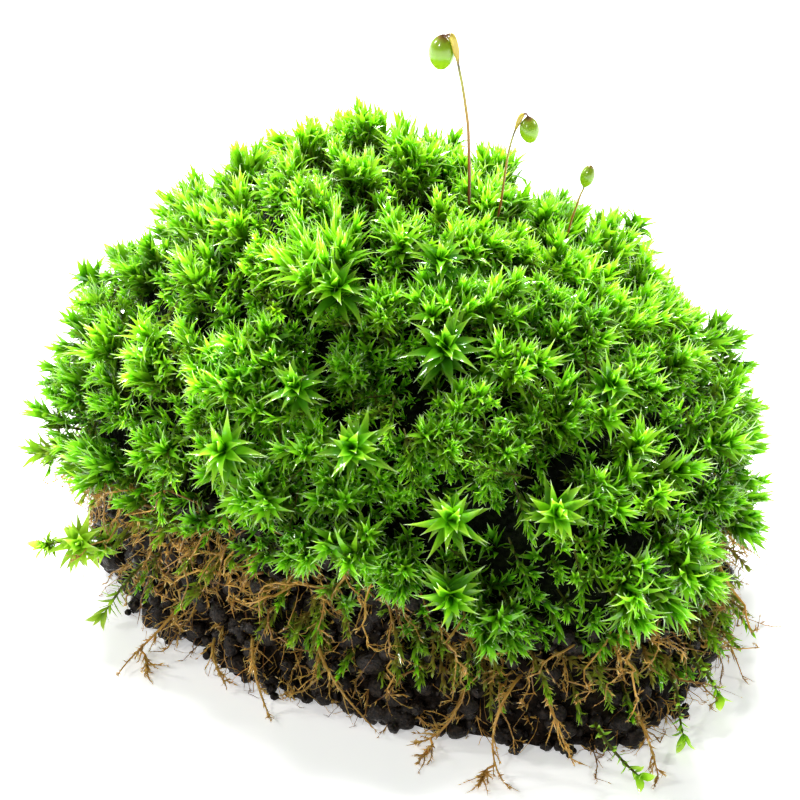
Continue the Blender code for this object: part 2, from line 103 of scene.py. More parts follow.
def clod_side(azimuth, share):
    """Points on the clod's side, at a share of the way up from the cut to the seam. The distance out is the mean
    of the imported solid's nearby corners, weighted by a bell curve of how far off they are, round and up."""
    corners = points_of("soil_clod")
    out = np.hypot(corners[:, 0], corners[:, 1])
    corners, out = corners[out > 18 * MM], out[out > 18 * MM]
    corner_turn = np.arctan2(corners[:, 1], corners[:, 0])
    corner_share = corners[:, 2] / seam(corners)
    turn = np.angle(np.exp(1j * (azimuth.reshape(-1, 1) - corner_turn)))
    rise = share.reshape(-1, 1) - corner_share
    weight = np.exp(-((turn / 0.07) ** 2 + (rise / 0.16) ** 2) / 2)
    reach = ((weight * out).sum(-1) / weight.sum(-1)).reshape(azimuth.shape)
    flat = np.stack([reach * np.cos(azimuth), reach * np.sin(azimuth), np.zeros_like(reach)], -1)
    flat[..., 2] = share * seam(flat)
    return flat


def shells(rings, start, end):
    """Closed bodies from an array of rings (bodies, rows, points round, 3) and the points that close their ends.
    Each ring turns anticlockwise about the way from start to end, so that the faces point outwards."""
    bodies, rows, columns, _ = rings.shape
    points = np.concatenate([rings.reshape(bodies, rows * columns, 3), start[:, None], end[:, None]], 1)
    row, column = np.meshgrid(np.arange(rows - 1), np.arange(columns), indexing="ij")
    here, beside = row * columns + column, row * columns + (column + 1) % columns
    walls = np.stack([here, beside, beside + columns, here, beside + columns, here + columns], -1)
    ring = np.arange(columns)
    after = (ring + 1) % columns
    first, last = rows * columns, rows * columns + 1
    caps = np.concatenate([
        np.stack([np.full(columns, first), after, ring], -1),
        np.stack([np.full(columns, last), ring + last - 1 - columns, after + last - 1 - columns], -1),
    ])
    faces = np.concatenate([walls.reshape(-1, 3), caps])
    stride = rows * columns + 2
    faces = faces[None] + stride * np.arange(bodies)[:, None, None]
    return points, faces.reshape(-1, 3)


def new_piece(name, points, faces, finish, slot, smooth=True, **marks):
    """A mesh object at the origin, from an array of points, one of triangles, and one of numbers for each mark."""
    mesh = bpy.data.meshes.new(name)
    mesh.vertices.add(len(points))
    mesh.vertices.foreach_set("co", np.ascontiguousarray(points, dtype=np.float32).ravel())
    mesh.loops.add(faces.size)
    mesh.loops.foreach_set("vertex_index", np.ascontiguousarray(faces, dtype=np.int32).ravel())
    mesh.polygons.add(len(faces))
    mesh.polygons.foreach_set("loop_start", np.arange(0, faces.size, 3, dtype=np.int32))
    mesh.polygons.foreach_set("use_smooth", np.full(len(faces), smooth))
    for mark, numbers in marks.items():
        layer = mesh.attributes.new(mark, "FLOAT", "POINT")
        layer.data.foreach_set("value", np.ascontiguousarray(numbers, dtype=np.float32).ravel())
    mesh.update(calc_edges=True)
    mesh.validate()
    piece = bpy.data.objects.new(name, mesh)
    bpy.context.scene.collection.objects.link(piece)
    mesh.materials.append(finish)
    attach(piece, "root")
    return piece


def node_group(name, inputs, outputs):
    """An empty shader node group, with its sockets given as name: (socket type, default)."""
    group = bpy.data.node_groups.new(name, "ShaderNodeTree")
    for label, (kind, default) in inputs.items():
        socket = group.interface.new_socket(label, in_out="INPUT", socket_type=kind)
        socket.default_value = default
    for label, kind in outputs.items():
        group.interface.new_socket(label, in_out="OUTPUT", socket_type=kind)
    return group, group.nodes.new("NodeGroupInput"), group.nodes.new("NodeGroupOutput")


def node(tree, kind, inputs=None, **settings):
    """A node with its settings, whose inputs are filled by name or place with a link or a number."""
    made = tree.nodes.new("ShaderNode" + kind)
    for key, value in settings.items():
        setattr(made, key, value)
    for key, value in (inputs or {}).items():
        if isinstance(value, bpy.types.NodeSocket):
            tree.links.new(value, made.inputs[key])
        else:
            made.inputs[key].default_value = value
    return made


def colour_ramp(tree, factor, stops):
    """A colour ramp, with its stops given as place: colour, from 0 to 1."""
    made = node(tree, "ValToRGB", {"Fac": factor})
    elements = made.color_ramp.elements
    elements[0].color, elements[1].color = (*stops[0.0], 1), (*stops[1.0], 1)
    for place in stops:
        if 0 < place < 1:
            elements.new(place).color = (*stops[place], 1)
    return made.outputs["Color"]


def plain_material(name):
    """A new material with nodes: its tree and its Principled shader."""
    material = bpy.data.materials.new(name)
    material.use_nodes = True
    tree = material.node_tree
    return material, tree, tree.nodes["Principled BSDF"]


def wet_grain_group():
    """Wet crumbs: dark humus with paler grains, a gloss in patches, and a height for the bump."""
    group, given, made = node_group(
        "wet_grain",
        {"Grain": ("NodeSocketFloat", 1600.0), "Dark": ("NodeSocketColor", (0, 0, 0, 1)),
         "Pale": ("NodeSocketColor", (1, 1, 1, 1))},
        {"Color": "NodeSocketColor", "Roughness": "NodeSocketFloat", "Height": "NodeSocketFloat"})
    place = node(group, "TexCoord").outputs["Object"]
    grain = given.outputs["Grain"]
    fine = node(group, "TexNoise", {"Vector": place, "Scale": grain, "Detail": 6.0, "Roughness": 0.7})
    coarse_scale = node(group, "Math", {0: grain, 1: 0.3}, operation="MULTIPLY").outputs[0]
    coarse = node(group, "TexNoise", {"Vector": place, "Scale": coarse_scale, "Detail": 3.0})
    cell = node(group, "TexVoronoi", {"Vector": place, "Scale": grain})
    share = node(group, "MapRange", {"Value": fine.outputs[0], "From Min": 0.45, "From Max": 0.75}).outputs[0]
    mix = node(group, "Mix", {0: share, 6: given.outputs["Dark"], 7: given.outputs["Pale"]}, data_type="RGBA")
    gloss = node(group, "MapRange", {"Value": coarse.outputs[0], "From Min": 0.42, "From Max": 0.62,
                                     "To Min": 0.22, "To Max": 0.75}).outputs[0]
    height = node(group, "Math", {0: fine.outputs[0], 1: cell.outputs["Distance"]}, operation="ADD").outputs[0]
    group.links.new(mix.outputs[2], made.inputs["Color"])
    group.links.new(gloss, made.inputs["Roughness"])
    group.links.new(height, made.inputs["Height"])
    return group


WET_GRAIN = wet_grain_group()


def soil_finish(name, dark, pale, grain, bump, shine):
    """Humus: the wet grain in two browns, over a low bump."""
    material, tree, shader = plain_material(name)
    wet = node(tree, "Group", node_tree=WET_GRAIN)
    wet.inputs["Grain"].default_value = grain
    wet.inputs["Dark"].default_value = (*dark, 1)
    wet.inputs["Pale"].default_value = (*pale, 1)
    relief = node(tree, "Bump", {"Strength": 0.8, "Distance": bump, "Height": wet.outputs["Height"]})
    shader.inputs["Specular IOR Level"].default_value = shine
    tree.links.new(wet.outputs["Color"], shader.inputs["Base Color"])
    tree.links.new(wet.outputs["Roughness"], shader.inputs["Roughness"])
    tree.links.new(relief.outputs[0], shader.inputs["Normal"])
    return material


humus = soil_finish("humus", dark=(0.004, 0.003, 0.002), pale=(0.03, 0.018, 0.01), grain=1500.0, bump=0.25 * MM,
                    shine=0.05)

turns = np.linspace(0, 2 * math.pi, CLOD_STEPS, endpoint=False)
shares = np.linspace(0, 1, CLOD_ROWS)
turn, share = np.meshgrid(turns, shares)
side = clod_side(turn, share)
outward = unit(side * (1, 1, 0))
lumps = 0.6 * np.abs(ripple(side, 4.2 * MM, 1)) + 0.5 * np.abs(ripple(side, 1.7 * MM, 2)) - 0.45
side += outward * (CLOD_LUMP * lumps)[..., None]
ground = side[0] * (1, 1, 0)
top = side[-1]
rings = np.concatenate([[ground * 0.5], side * (1, 1, 1), [top * (0.6, 0.6, 1), top * (0.3, 0.3, 1)]])
rings[1, :, 2] = 0
rings[-2:, :, 2] = seam(rings[-2:]) - 0.4 * MM
middle_top = np.array([[0, 0, SEAM_HEIGHT - 0.4 * MM]])
points, faces = shells(rings[None], np.zeros((1, 3)), middle_top)
clod = new_piece("soil_clod_body", points.reshape(-1, 3), faces, humus, "soil")
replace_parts(clod, "soil_clod")

# Crumbs of the same soil: small round lumps that cling to the clod's side, and eight bigger ones that lie
# against its foot. Each is a squashed ball with dents, stuck on by the wet.
SMALL_CRUMBS, CRUMB_RADII = 1500, (0.22 * MM, 0.62 * MM)
BIG_CRUMBS, BIG_CRUMB_RADII = 420, (0.6 * MM, 1.5 * MM)
FLOOR_GAP = 0.05 * MM


def balls(centres, radii, rows, columns, dents, seed):
    """Dented balls: a globe grid of directions, its distance out changed by soft noise and by a random squash."""
    dice = np.random.default_rng(seed)
    lift = np.linspace(-math.pi / 2, math.pi / 2, rows + 2)[1:-1]
    turn = np.linspace(0, 2 * math.pi, columns, endpoint=False)
    lift, turn = np.meshgrid(lift, turn, indexing="ij")
    globe = np.stack([np.cos(lift) * np.cos(turn), np.cos(lift) * np.sin(turn), np.sin(lift)], -1)
    poles = np.array([[0, 0, -1.0], [0, 0, 1.0]])
    ways = np.concatenate([globe.reshape(-1, 3), poles])[None]
    out = 1 + dents * dice.normal(size=(len(centres), ways.shape[1], 1))
    squash = dice.uniform(0.75, 1.15, (len(centres), 1, 3))
    points = centres[:, None] + ways * out * squash * radii[:, None, None]
    points[..., 2] = np.maximum(points[..., 2], FLOOR_GAP)
    grid = points[:, :-2].reshape(len(centres), rows, columns, 3)
    return shells(grid, points[:, -2], points[:, -1])


crumb_soil = soil_finish("crumb_soil", dark=(0.004, 0.003, 0.0025), pale=(0.05, 0.033, 0.02), grain=3200.0,
                         bump=0.12 * MM, shine=0.2)
for label, count, radii, rows, columns, seed in (
        ("soil_crumbs_fine", SMALL_CRUMBS, CRUMB_RADII, 3, 6, 21),
        ("soil_crumbs_coarse", BIG_CRUMBS, BIG_CRUMB_RADII, 6, 10, 22)):
    dice = np.random.default_rng(seed)
    turn, share = dice.uniform(0, 2 * math.pi, count), dice.uniform(0.0, 1.3, count)
    radius = radii[0] + (radii[1] - radii[0]) * dice.random(count) ** 2
    centre = clod_side(turn, share)
    centre += unit(centre * (1, 1, 0)) * (radius * dice.uniform(-0.2, 0.8, count))[:, None]
    centre[:, 2] = np.maximum(centre[:, 2], radius * 0.8)
    points, faces = balls(centre, radius, rows, columns, 0.09, seed)
    piece = new_piece(label, points.reshape(-1, 3), faces, crumb_soil, "soil")
    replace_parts(piece, "soil_clod")

# Round pellets of soil hang on the clod's side, most of them low.
PELLETS = 330
dice = np.random.default_rng(23)
centre = clod_side(dice.uniform(0, 2 * math.pi, PELLETS), 1.1 * dice.random(PELLETS) ** 1.5)
radius = dice.uniform(0.45, 1.2, PELLETS) * MM
centre += unit(centre * (1, 1, 0)) * (radius * dice.uniform(0.5, 1.4, PELLETS))[:, None]
centre[:, 2] = np.maximum(centre[:, 2], radius * 0.9)
points, faces = balls(centre, radius, 7, 11, 0.06, 24)
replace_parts(new_piece("soil_pellets", points.reshape(-1, 3), faces, crumb_soil, "soil"), "soil_clod")

for number in range(1, 9):
    low, high = (np.array(corner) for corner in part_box(f"soil_crumb_{number}"))
    dice = np.random.default_rng(40 + number)
    centre = np.concatenate([[(low + high) / 2], (low + high) / 2 + dice.normal(size=(7, 3)) * (high - low) * 0.26])
    radius = np.concatenate([[0.42], dice.uniform(0.16, 0.3, 7)]) * (high - low).mean()
    centre[:, 2] = np.maximum(centre[:, 2], radius)
    points, faces = balls(centre, radius, 9, 14, 0.06, 50 + number)
    piece = new_piece(f"soil_crumb_{number}_lump", points.reshape(-1, 3), faces, crumb_soil, "soil")
    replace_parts(piece, f"soil_crumb_{number}")

# Leafy shoots of the cushion: hundreds of upright moss stems, packed side by side, each set round with thin,
# pointed, see-through leaves in a spiral. Shoots stand in tufts, and tall broad-leaved ones stand among fine ones.
HEART = np.array([0, 0, 16 * MM])  # the shoots grow away from here
GOLDEN = math.radians(137.508)
CORE_DEPTH = 4.6 * MM
BARE_SIDE = 235  # degrees round, of the side where the rim is highest
TUFT_REACH = 0.13  # of one tuft, in radians seen from the heart
FINE_SHOOTS, FINE_LEAVES = 2300, 32
BRUSH_SHOOTS, BRUSH_LEAVES = 4, 44  # shoots round the middle of each tuft, and leaves on each

# Tufts and hollows: degrees round, degrees up, and for a tuft how much longer its leaves are.
TUFTS = (
    (235, 19, 1.15), (209, 39, 1.0), (196, 32, 1.0), (173, 0, 1.2), (308, 6, 1.1), (319, 21, 1.1),
    (21, 41, 1.1), (103, 66, 1.0), (80, 76, 1.1), (341, 16, 1.1), (2, 26, 1.0), (188, 49, 1.0), (325, 46, 1.0),
    (319, 7, 1.1), (207, 18, 1.0), (220, 48, 1.1), (140, 50, 1.0), (115, 35, 1.1), (90, 20, 1.0), (60, 50, 1.1),
    (45, 22, 1.1), (70, 5, 1.0), (115, 3, 1.0), (145, 15, 1.1), (20, 10, 1.0), (165, 35, 1.0), (272, 80, 1.0),
    (292, 71, 1.1), (319, 35, 1.1),
)
HOLLOWS = (
    (272, 41), (285, 48), (305, 33), (314, 21), (257, 18), (278, 15), (216, 12), (292, 12), (247, 44), (75, 35),
    (30, 30), (130, 30), (100, 12), (350, 8),
)
DIPS = ((34, 50), (158, 42), (330, -4))  # wide, shallow ones
DIP = 2.5 * MM


def heading(degrees_round, degrees_up):
    """A unit vector from two angles in degrees."""
    turn, lift = np.radians(degrees_round), np.radians(degrees_up)
    return np.stack([np.cos(lift) * np.cos(turn), np.cos(lift) * np.sin(turn), np.sin(lift)], -1)


def even_directions(count, lowest):
    """Directions spread evenly over a ball above a height: a spiral that turns by the golden angle at each step."""
    height = np.linspace(1 - 1 / count, lowest, count)
    turn = GOLDEN * np.arange(count)
    flat = np.sqrt(1 - height ** 2)
    return np.stack([flat * np.cos(turn), flat * np.sin(turn), height], -1)


cushion_corners = points_of("moss_cushion") - HEART
cushion_reaches = np.linalg.norm(cushion_corners, axis=-1)
cushion_ways = unit(cushion_corners)


def cushion_reach(ways, blur=0.07):
    """How far the cushion reaches from its heart in each direction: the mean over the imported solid's corners,
    weighted by a bell curve of the angle to them."""
    weight = np.exp((ways @ cushion_ways.T - 1) / blur ** 2)
    return (weight @ cushion_reaches) / weight.sum(-1)


def growing_way(ways):
    """The way that a shoot grows at each direction: outwards, a little up on the dome, and drooping at its rim."""
    rise = np.clip((np.degrees(np.arcsin(ways[:, 2])) + 10) / 40, 0, 1)
    lift = -0.2 + 0.5 * rise * rise * (3 - 2 * rise)
    return unit(ways + lift[:, None] * (0, 0, 1))


def side_ways(way):
    """Two unit vectors square to each way, which make a right-handed set with it."""
    helper = np.where(np.abs(way[..., 2:]) > 0.9, (1.0, 0, 0), (0, 0, 1.0))
    side = unit(np.cross(way, helper))
    return side, np.cross(way, side)


def tubes(paths, radii, sides):
    """Round tubes along paths (tubes, points, 3), each ending in a point: a ring square to the path at each point
    but the last."""
    tangent = unit(np.gradient(paths, axis=1))
    side, _ = side_ways(tangent[:, 0])
    side = unit(side[:, None] - tangent * (side[:, None] * tangent).sum(-1, keepdims=True))
    second = np.cross(tangent, side)
    turn = np.linspace(0, 2 * math.pi, sides, endpoint=False)[:, None]
    ring = side[:, :, None] * np.cos(turn) + second[:, :, None] * np.sin(turn)
    rings = paths[:, :, None] + ring * radii[:, :, None, None]
    start = paths[:, 0] - tangent[:, 0] * radii[:, :1]
    return shells(rings[:, :-1], start, paths[:, -1])


# Half widths along a leaf, as shares of the widest: (share of the length, share of the width).
FINE_LEAF = np.array([(0, 0.7), (0.3, 1.0), (0.66, 0.46), (1, 0)])
LANCE_LEAF = np.array([(0, 0.6), (0.26, 1.0), (0.54, 0.66), (0.79, 0.22), (1, 0)])
BROAD_LEAF = np.array([(0, 0.6), (0.12, 0.85), (0.27, 1.0), (0.43, 0.88), (0.58, 0.62), (0.73, 0.34), (0.87, 0.12),
                       (1, 0)])


def blades(root, along, away, across, length, width, curl, outline, fold):
    """Leaves as strips, folded along the middle if fold isn't zero. A leaf bends along a circle, away from its
    stem: at the share u of its length its middle stands at root + length * (along * sin(curl * u) + away *
    (1 - cos(curl * u))) / curl. Its edges lie to either side by half its width there, lifted by the fold."""
    u, share = outline[:, 0], outline[:, 1]
    curl = np.where(np.abs(curl) < 1e-3, 1e-3, curl)[:, None]
    bend = curl * u
    run = length[:, None] / curl
    middle = (root[:, None] + along[:, None] * (run * np.sin(bend))[..., None]
              + away[:, None] * (run * (1 - np.cos(bend)))[..., None])
    upper = along[:, None] * np.sin(bend)[..., None] - away[:, None] * np.cos(bend)[..., None]
    half = (0.5 * width[:, None] * share)[..., None]
    edge = across[:, None] * half
    lift = upper * half * fold
    columns = [middle - edge + lift, middle + edge + lift]
    if fold:
        columns.insert(1, middle)
    grid = np.stack(columns, 2)
    count, rows, wide, _ = grid.shape
    points = np.concatenate([grid[:, :-1].reshape(count, -1, 3), middle[:, -1:]], 1)
    row, column = np.meshgrid(np.arange(rows - 2), np.arange(wide - 1), indexing="ij")
    here = (row * wide + column).ravel()
    ahead = here + wide
    last = (rows - 2) * wide + np.arange(wide - 1)
    faces = np.concatenate([
        np.stack([here, ahead, ahead + 1], -1),
        np.stack([here, ahead + 1, here + 1], -1),
        np.stack([last, np.full(wide - 1, (rows - 1) * wide), last + 1], -1),
    ])
    faces = faces[None] + points.shape[1] * np.arange(count)[:, None, None]
    reach = np.append(np.repeat(u[:-1], wide), 1.0)
    return points, faces.reshape(-1, 3), np.broadcast_to(reach, points.shape[:2])


def shoots(foot, way, lean, height, leaves, first, spread, length, width, curl, outline, fold, tone, age, ageing,
           stem, seed, limp=0.0):
    """Leafy shoots. The stem stands at foot + height * (way * t + lean * t * t) for t from 0 to 1, and leaves
    sit on it from t = first to its tip, each the golden angle on from the last. They stand off by spread[0]
    radians low down and spread[1] at the tip. Returns points, faces and the marks along, tone, age and depth."""
    dice = np.random.default_rng(seed)
    count = len(foot)
    share = np.linspace(0, 1, leaves) ** 0.92
    share = np.clip(share + dice.normal(0, 0.5 / leaves, (count, leaves)), 0, 1)
    t = (first + (1 - first) * share)[..., None]
    middle = foot[:, None] + height[:, None, None] * (way[:, None] * t + lean[:, None] * t * t)
    axis = unit(way[:, None] + 2 * t * lean[:, None])
    side, second = side_ways(way)
    turn = GOLDEN * np.arange(leaves) + dice.uniform(0, 2 * math.pi, (count, 1)) + dice.normal(0, 0.2, t.shape[:2])
    radial = side[:, None] * np.cos(turn)[..., None] + second[:, None] * np.sin(turn)[..., None]
    radial = unit(radial - axis * (radial * axis).sum(-1, keepdims=True))
    angle = spread[0] + (spread[1] - spread[0]) * share ** 1.5 + dice.normal(0, 0.13, share.shape)
    along = axis * np.cos(angle)[..., None] + radial * np.sin(angle)[..., None]
    along = unit(along - limp * (1 - share[..., None]) * np.array([0, 0, 1.0]))
    across = unit(np.cross(axis, along))
    away = np.cross(across, along)
    roll = dice.normal(0, 0.3, share.shape)[..., None]
    across, away = across * np.cos(roll) + away * np.sin(roll), away * np.cos(roll) - across * np.sin(roll)
    size = (1 - 0.45 * share ** 5 - 0.3 * (1 - share) ** 2) * dice.uniform(0.78, 1.2, share.shape)
    bend = curl + dice.normal(0, 0.9, share.shape)
    flat = [values.reshape(-1, 3) for values in (middle, along, away, across)]
    points, faces, reach = blades(
        *flat, (length[:, None] * size).ravel(), (width[:, None] * size ** 0.5).ravel(), bend.ravel(), outline, fold)
    corners = points.shape[1]
    leaf_tone = tone[:, None] + dice.normal(0, 0.12, share.shape)
    leaf_age = np.clip(age[:, None] + ageing * (1 - share) + dice.normal(0, 0.07, share.shape), 0, 1)
    marks = [reach.reshape(-1)]
    # The depth mark, 1 - share, is painted shade: the finish darkens the lower leaves by it, and the stem by its 0.7
    # below.
    marks += [np.repeat(values.ravel(), corners) for values in (leaf_tone, leaf_age, 1 - share)]
    stops = np.array([0, 0.4, 0.8, 1])[:, None]
    path = foot[:, None] + height[:, None, None] * (way[:, None] * stops + lean[:, None] * stops * stops)
    radii = np.broadcast_to(stem * np.array([1, 0.9, 0.6, 0.1]), (count, 4))
    stem_points, stem_faces = tubes(path, radii, 3)
    stem_marks = [np.zeros(stem_points.shape[:2]), np.broadcast_to(tone[:, None], stem_points.shape[:2]),
                  np.broadcast_to(np.clip(age[:, None] + 0.35, 0, 1), stem_points.shape[:2]),
                  np.full(stem_points.shape[:2], 0.7)]
    faces = np.concatenate([faces, stem_faces + points.shape[0] * corners])
    points = np.concatenate([points.reshape(-1, 3), stem_points.reshape(-1, 3)])
    marks = [np.concatenate([mark, more.ravel()]) for mark, more in zip(marks, stem_marks)]
    return points, faces, marks


def joined(batches):
    """Several batches of points, faces and marks as one."""
    offset = np.cumsum([0] + [len(batch[0]) for batch in batches[:-1]])
    points = np.concatenate([batch[0] for batch in batches])
    faces = np.concatenate([batch[1] + start for batch, start in zip(batches, offset)])
    marks = [np.concatenate([batch[2][mark] for batch in batches]) for mark in range(4)]
    return points, faces, marks


def leafy_piece(name, batch, finish, slot, *nodes):
    """A piece of leaves with the marks that its finish reads."""
    points, faces, (along, tone, age, depth) = batch
    points[:, 2] = np.maximum(points[:, 2], FLOOR_GAP)
    piece = new_piece(name, points, faces, finish, slot, along=along, tone=tone, age=age, depth=depth)
    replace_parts(piece, *nodes)
    return piece


def leaf_colour_group():
    """Leaf colours from the marks: from base to tip along a leaf, lighter or darker and yellower or bluer by its
    tone, which holds random tone and painted light on the higher shoots, darker down the shoot as painted shade,
    pale at the tips as hair points and as a painted highlight, and brown with age. Light is the colour that shines
    through."""
    group, given, made = node_group(
        "leaf_colour",
        {"Base": ("NodeSocketColor", (0, 0.1, 0, 1)), "Middle": ("NodeSocketColor", (0, 0.3, 0, 1)),
         "Tip": ("NodeSocketColor", (0.3, 0.5, 0, 1)), "Old": ("NodeSocketColor", (0.1, 0.05, 0, 1))},
        {"Color": "NodeSocketColor", "Light": "NodeSocketColor", "Height": "NodeSocketFloat",
         "Wet": "NodeSocketFloat"})
    along, tone, age, depth = (node(group, "Attribute", attribute_name=mark).outputs["Fac"]
                               for mark in ("along", "tone", "age", "depth"))
    place = node(group, "TexCoord").outputs["Object"]
    patch = node(group, "TexNoise", {"Vector": place, "Scale": 70.0, "Detail": 2.0}).outputs[0]
    lower = node(group, "MapRange", {"Value": along, "From Min": 0.0, "From Max": 0.5}).outputs[0]
    upper = node(group, "MapRange", {"Value": along, "From Min": 0.45, "From Max": 1.0}).outputs[0]
    leaf = node(group, "Mix", {0: lower, 6: given.outputs["Base"], 7: given.outputs["Middle"]}, data_type="RGBA")
    leaf = node(group, "Mix", {0: upper, 6: leaf.outputs[2], 7: given.outputs["Tip"]}, data_type="RGBA")
    # The last share of each leaf goes pale: the hair point's own colour, and a painted highlight as well.
    hair = node(group, "MapRange", {"Value": along, "From Min": 0.8, "From Max": 0.95}).outputs[0]
    leaf = node(group, "Mix", {0: hair, 6: leaf.outputs[2], 7: (0.72, 0.95, 0.5, 1)}, data_type="RGBA")
    shift = node(group, "Math", {0: tone, 1: patch}, operation="ADD").outputs[0]
    hue = node(group, "MapRange", {"Value": shift, "From Min": 0.2, "From Max": 1.8, "To Min": 0.52,
                                   "To Max": 0.487}).outputs[0]
    bright = node(group, "MapRange", {"Value": shift, "From Min": 0.2, "From Max": 1.8, "To Min": 0.6,
                                      "To Max": 1.4}).outputs[0]
    # Painted shade: leaves lower down each shoot, by the depth mark, are darkened to as little as 0.22 of their colour.
    painted_shade = node(group, "MapRange", {"Value": depth, "From Min": 0.15, "From Max": 0.95, "To Min": 1.05,
                                     "To Max": 0.22}).outputs[0]
    bright = node(group, "Math", {0: bright, 1: painted_shade}, operation="MULTIPLY").outputs[0]
    green = node(group, "HueSaturation", {"Hue": hue, "Value": bright, "Color": leaf.outputs[2]}).outputs[0]
    colour = node(group, "Mix", {0: age, 6: green, 7: given.outputs["Old"]}, data_type="RGBA").outputs[2]
    light = node(group, "HueSaturation", {"Hue": 0.495, "Saturation": 1.0, "Value": 1.4, "Color": colour}).outputs[0]
    vein = node(group, "TexNoise", {"Vector": place, "Scale": 5000.0, "Detail": 2.0}).outputs[0]
    film = node(group, "TexNoise", {"Vector": place, "Scale": 1300.0, "Detail": 1.0}).outputs[0]
    wet = node(group, "MapRange", {"Value": film, "From Min": 0.44, "From Max": 0.56, "To Min": 0.1}).outputs[0]
    group.links.new(wet, made.inputs["Wet"])
    group.links.new(colour, made.inputs["Color"])
    group.links.new(light, made.inputs["Light"])
    group.links.new(vein, made.inputs["Height"])
    return group


LEAF_COLOUR = leaf_colour_group()


def leaf_finish(name, base, middle, tip, old, thin=0.45, roughness=0.4):
    """A thin wet leaf: a green skin with a clear coat, and light that shines through it."""
    material, tree, shader = plain_material(name)
    leaf = node(tree, "Group", node_tree=LEAF_COLOUR)
    for label, colour in (("Base", base), ("Middle", middle), ("Tip", tip), ("Old", old)):
        leaf.inputs[label].default_value = (*colour, 1)
    relief = node(tree, "Bump", {"Strength": 0.6, "Distance": 0.04 * MM, "Height": leaf.outputs["Height"]})
    tree.links.new(leaf.outputs["Color"], shader.inputs["Base Color"])
    tree.links.new(relief.outputs[0], shader.inputs["Normal"])
    shader.inputs["Roughness"].default_value = roughness
    tree.links.new(leaf.outputs["Wet"], shader.inputs["Coat Weight"])
    shader.inputs["Coat Roughness"].default_value = 0.06
    shader.inputs["Coat IOR"].default_value = 1.55
    shader.inputs["Specular IOR Level"].default_value = 0.15
    through = node(tree, "BsdfTranslucent", {"Color": leaf.outputs["Light"]})
    both = node(tree, "MixShader", {0: thin, 1: shader.outputs[0], 2: through.outputs[0]})
    tree.links.new(both.outputs[0], tree.nodes["Material Output"].inputs["Surface"])
    return material


moss_leaf = leaf_finish("moss_leaf", base=(0.015, 0.12, 0.001), middle=(0.18, 0.54, 0.004), tip=(0.45, 0.85, 0.05),
                        old=(0.24, 0.16, 0.03))
# Painted shade: the core's near-black greens stand in for the deep shade inside the cushion.
painted_shade_core = soil_finish("painted_shade_core", dark=(0.001, 0.002, 0.0005), pale=(0.008, 0.012, 0.002), grain=1800.0,
                        bump=0.4 * MM, shine=0.05)

# The shaded inside of the cushion, a mat of stems too deep to tell apart, stands under the shoots. Its near-black
# colour is painted shade.
turn, lift = np.meshgrid(np.radians(np.arange(0, 360, 2.5)), np.radians(np.linspace(-11, 88, 34)))
ways = np.stack([np.cos(lift) * np.cos(turn), np.cos(lift) * np.sin(turn), np.sin(lift)], -1)
reach = cushion_reach(ways.reshape(-1, 3)).reshape(turn.shape) - CORE_DEPTH
core = HEART + ways * (reach + 0.5 * MM * ripple(ways * 40 * MM, 4 * MM, 5))[..., None]
core[0, :, 2] = seam(core[0]) + 0.3 * MM
core[1:, :, 2] = np.maximum(core[1:, :, 2], seam(core[1:]) + 0.35 * MM)
core_top = HEART + np.array([[0, 0, reach[-1].mean()]])
core_foot = np.array([[0, 0, SEAM_HEIGHT + 0.3 * MM]])
points, faces = shells(core[None], core_foot, core_top)
piece = new_piece("moss_core", points.reshape(-1, 3), faces, painted_shade_core, "moss")
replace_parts(piece, "moss_cushion")

star_centres = {name: np.array(sum(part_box(name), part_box(name)[0] * 0) / 2) for name in sorted(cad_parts)
                if name.startswith("star_shoot_")}
star_ways = unit(np.stack(list(star_centres.values())) - HEART)
tuft_ways = heading(*np.array(TUFTS).T[:2])
tuft_sizes = np.array([tuft[2] for tuft in TUFTS])
filling = even_directions(150, -0.12)
dice = np.random.default_rng(3)
filling = unit(filling + dice.normal(0, 0.03, filling.shape))
clear = (filling @ np.concatenate([tuft_ways, star_ways]).T).max(-1) < math.cos(0.15)
tuft_sizes = np.concatenate([tuft_sizes, dice.uniform(0.75, 1.05, clear.sum())])
tuft_ways = np.concatenate([tuft_ways, filling[clear]])
hollow_ways = heading(*np.array(HOLLOWS).T)
dip_ways = heading(*np.array(DIPS).T)


def nearness(ways, others, reach):
    """How near each direction is to the nearest of others: 1 on it, and falling off by a bell curve."""
    nearest = (ways @ others.T).max(-1)
    return np.exp((nearest - 1) / reach ** 2)


def dip(ways):
    """How far the cushion sinks in each direction: in its wide dips, but not under a star shoot."""
    return DIP * nearness(ways, dip_ways, 0.25) * (1 - nearness(ways, star_ways, 0.12))


def tuft_push(ways):
    """Where each direction lies in its tuft, as a vector from the tuft's middle that is 1 long at its edge."""
    nearest = (ways @ tuft_ways.T).argmax(-1)
    middle = tuft_ways[nearest]
    offset = ways - middle * (ways * middle).sum(-1, keepdims=True)
    push = offset / TUFT_REACH
    return push / np.maximum(np.linalg.norm(push, axis=-1, keepdims=True), 1), nearest


def sunlit(tips):
    """A tone for each shoot: soft patches of random tone, and painted light, paler and yellower the higher it stands.
    """
    height = np.clip((tips[:, 2] - 32 * MM) / (25 * MM), -0.6, 0.7)
    return 0.5 + 0.3 * ripple(tips, 14 * MM, 6) + 0.45 * height


def cover(ways):
    """The share of shoots that stand in each direction: all of them on most of the cushion, and fewer towards its
    rim, in a band 1.5 mm high that widens to 9 mm round the bare side, by a bell curve."""
    surface = HEART + ways * cushion_reach(ways)[:, None]
    turn = np.arctan2(ways[:, 1], ways[:, 0]) - math.radians(BARE_SIDE)
    bare = np.exp(-(np.angle(np.exp(1j * turn)) / 0.7) ** 2)
    above = (surface[:, 2] - seam(surface)) / ((1.5 + 8.0 * bare) * MM)
    return np.clip(above, 0, 1) ** 1.3


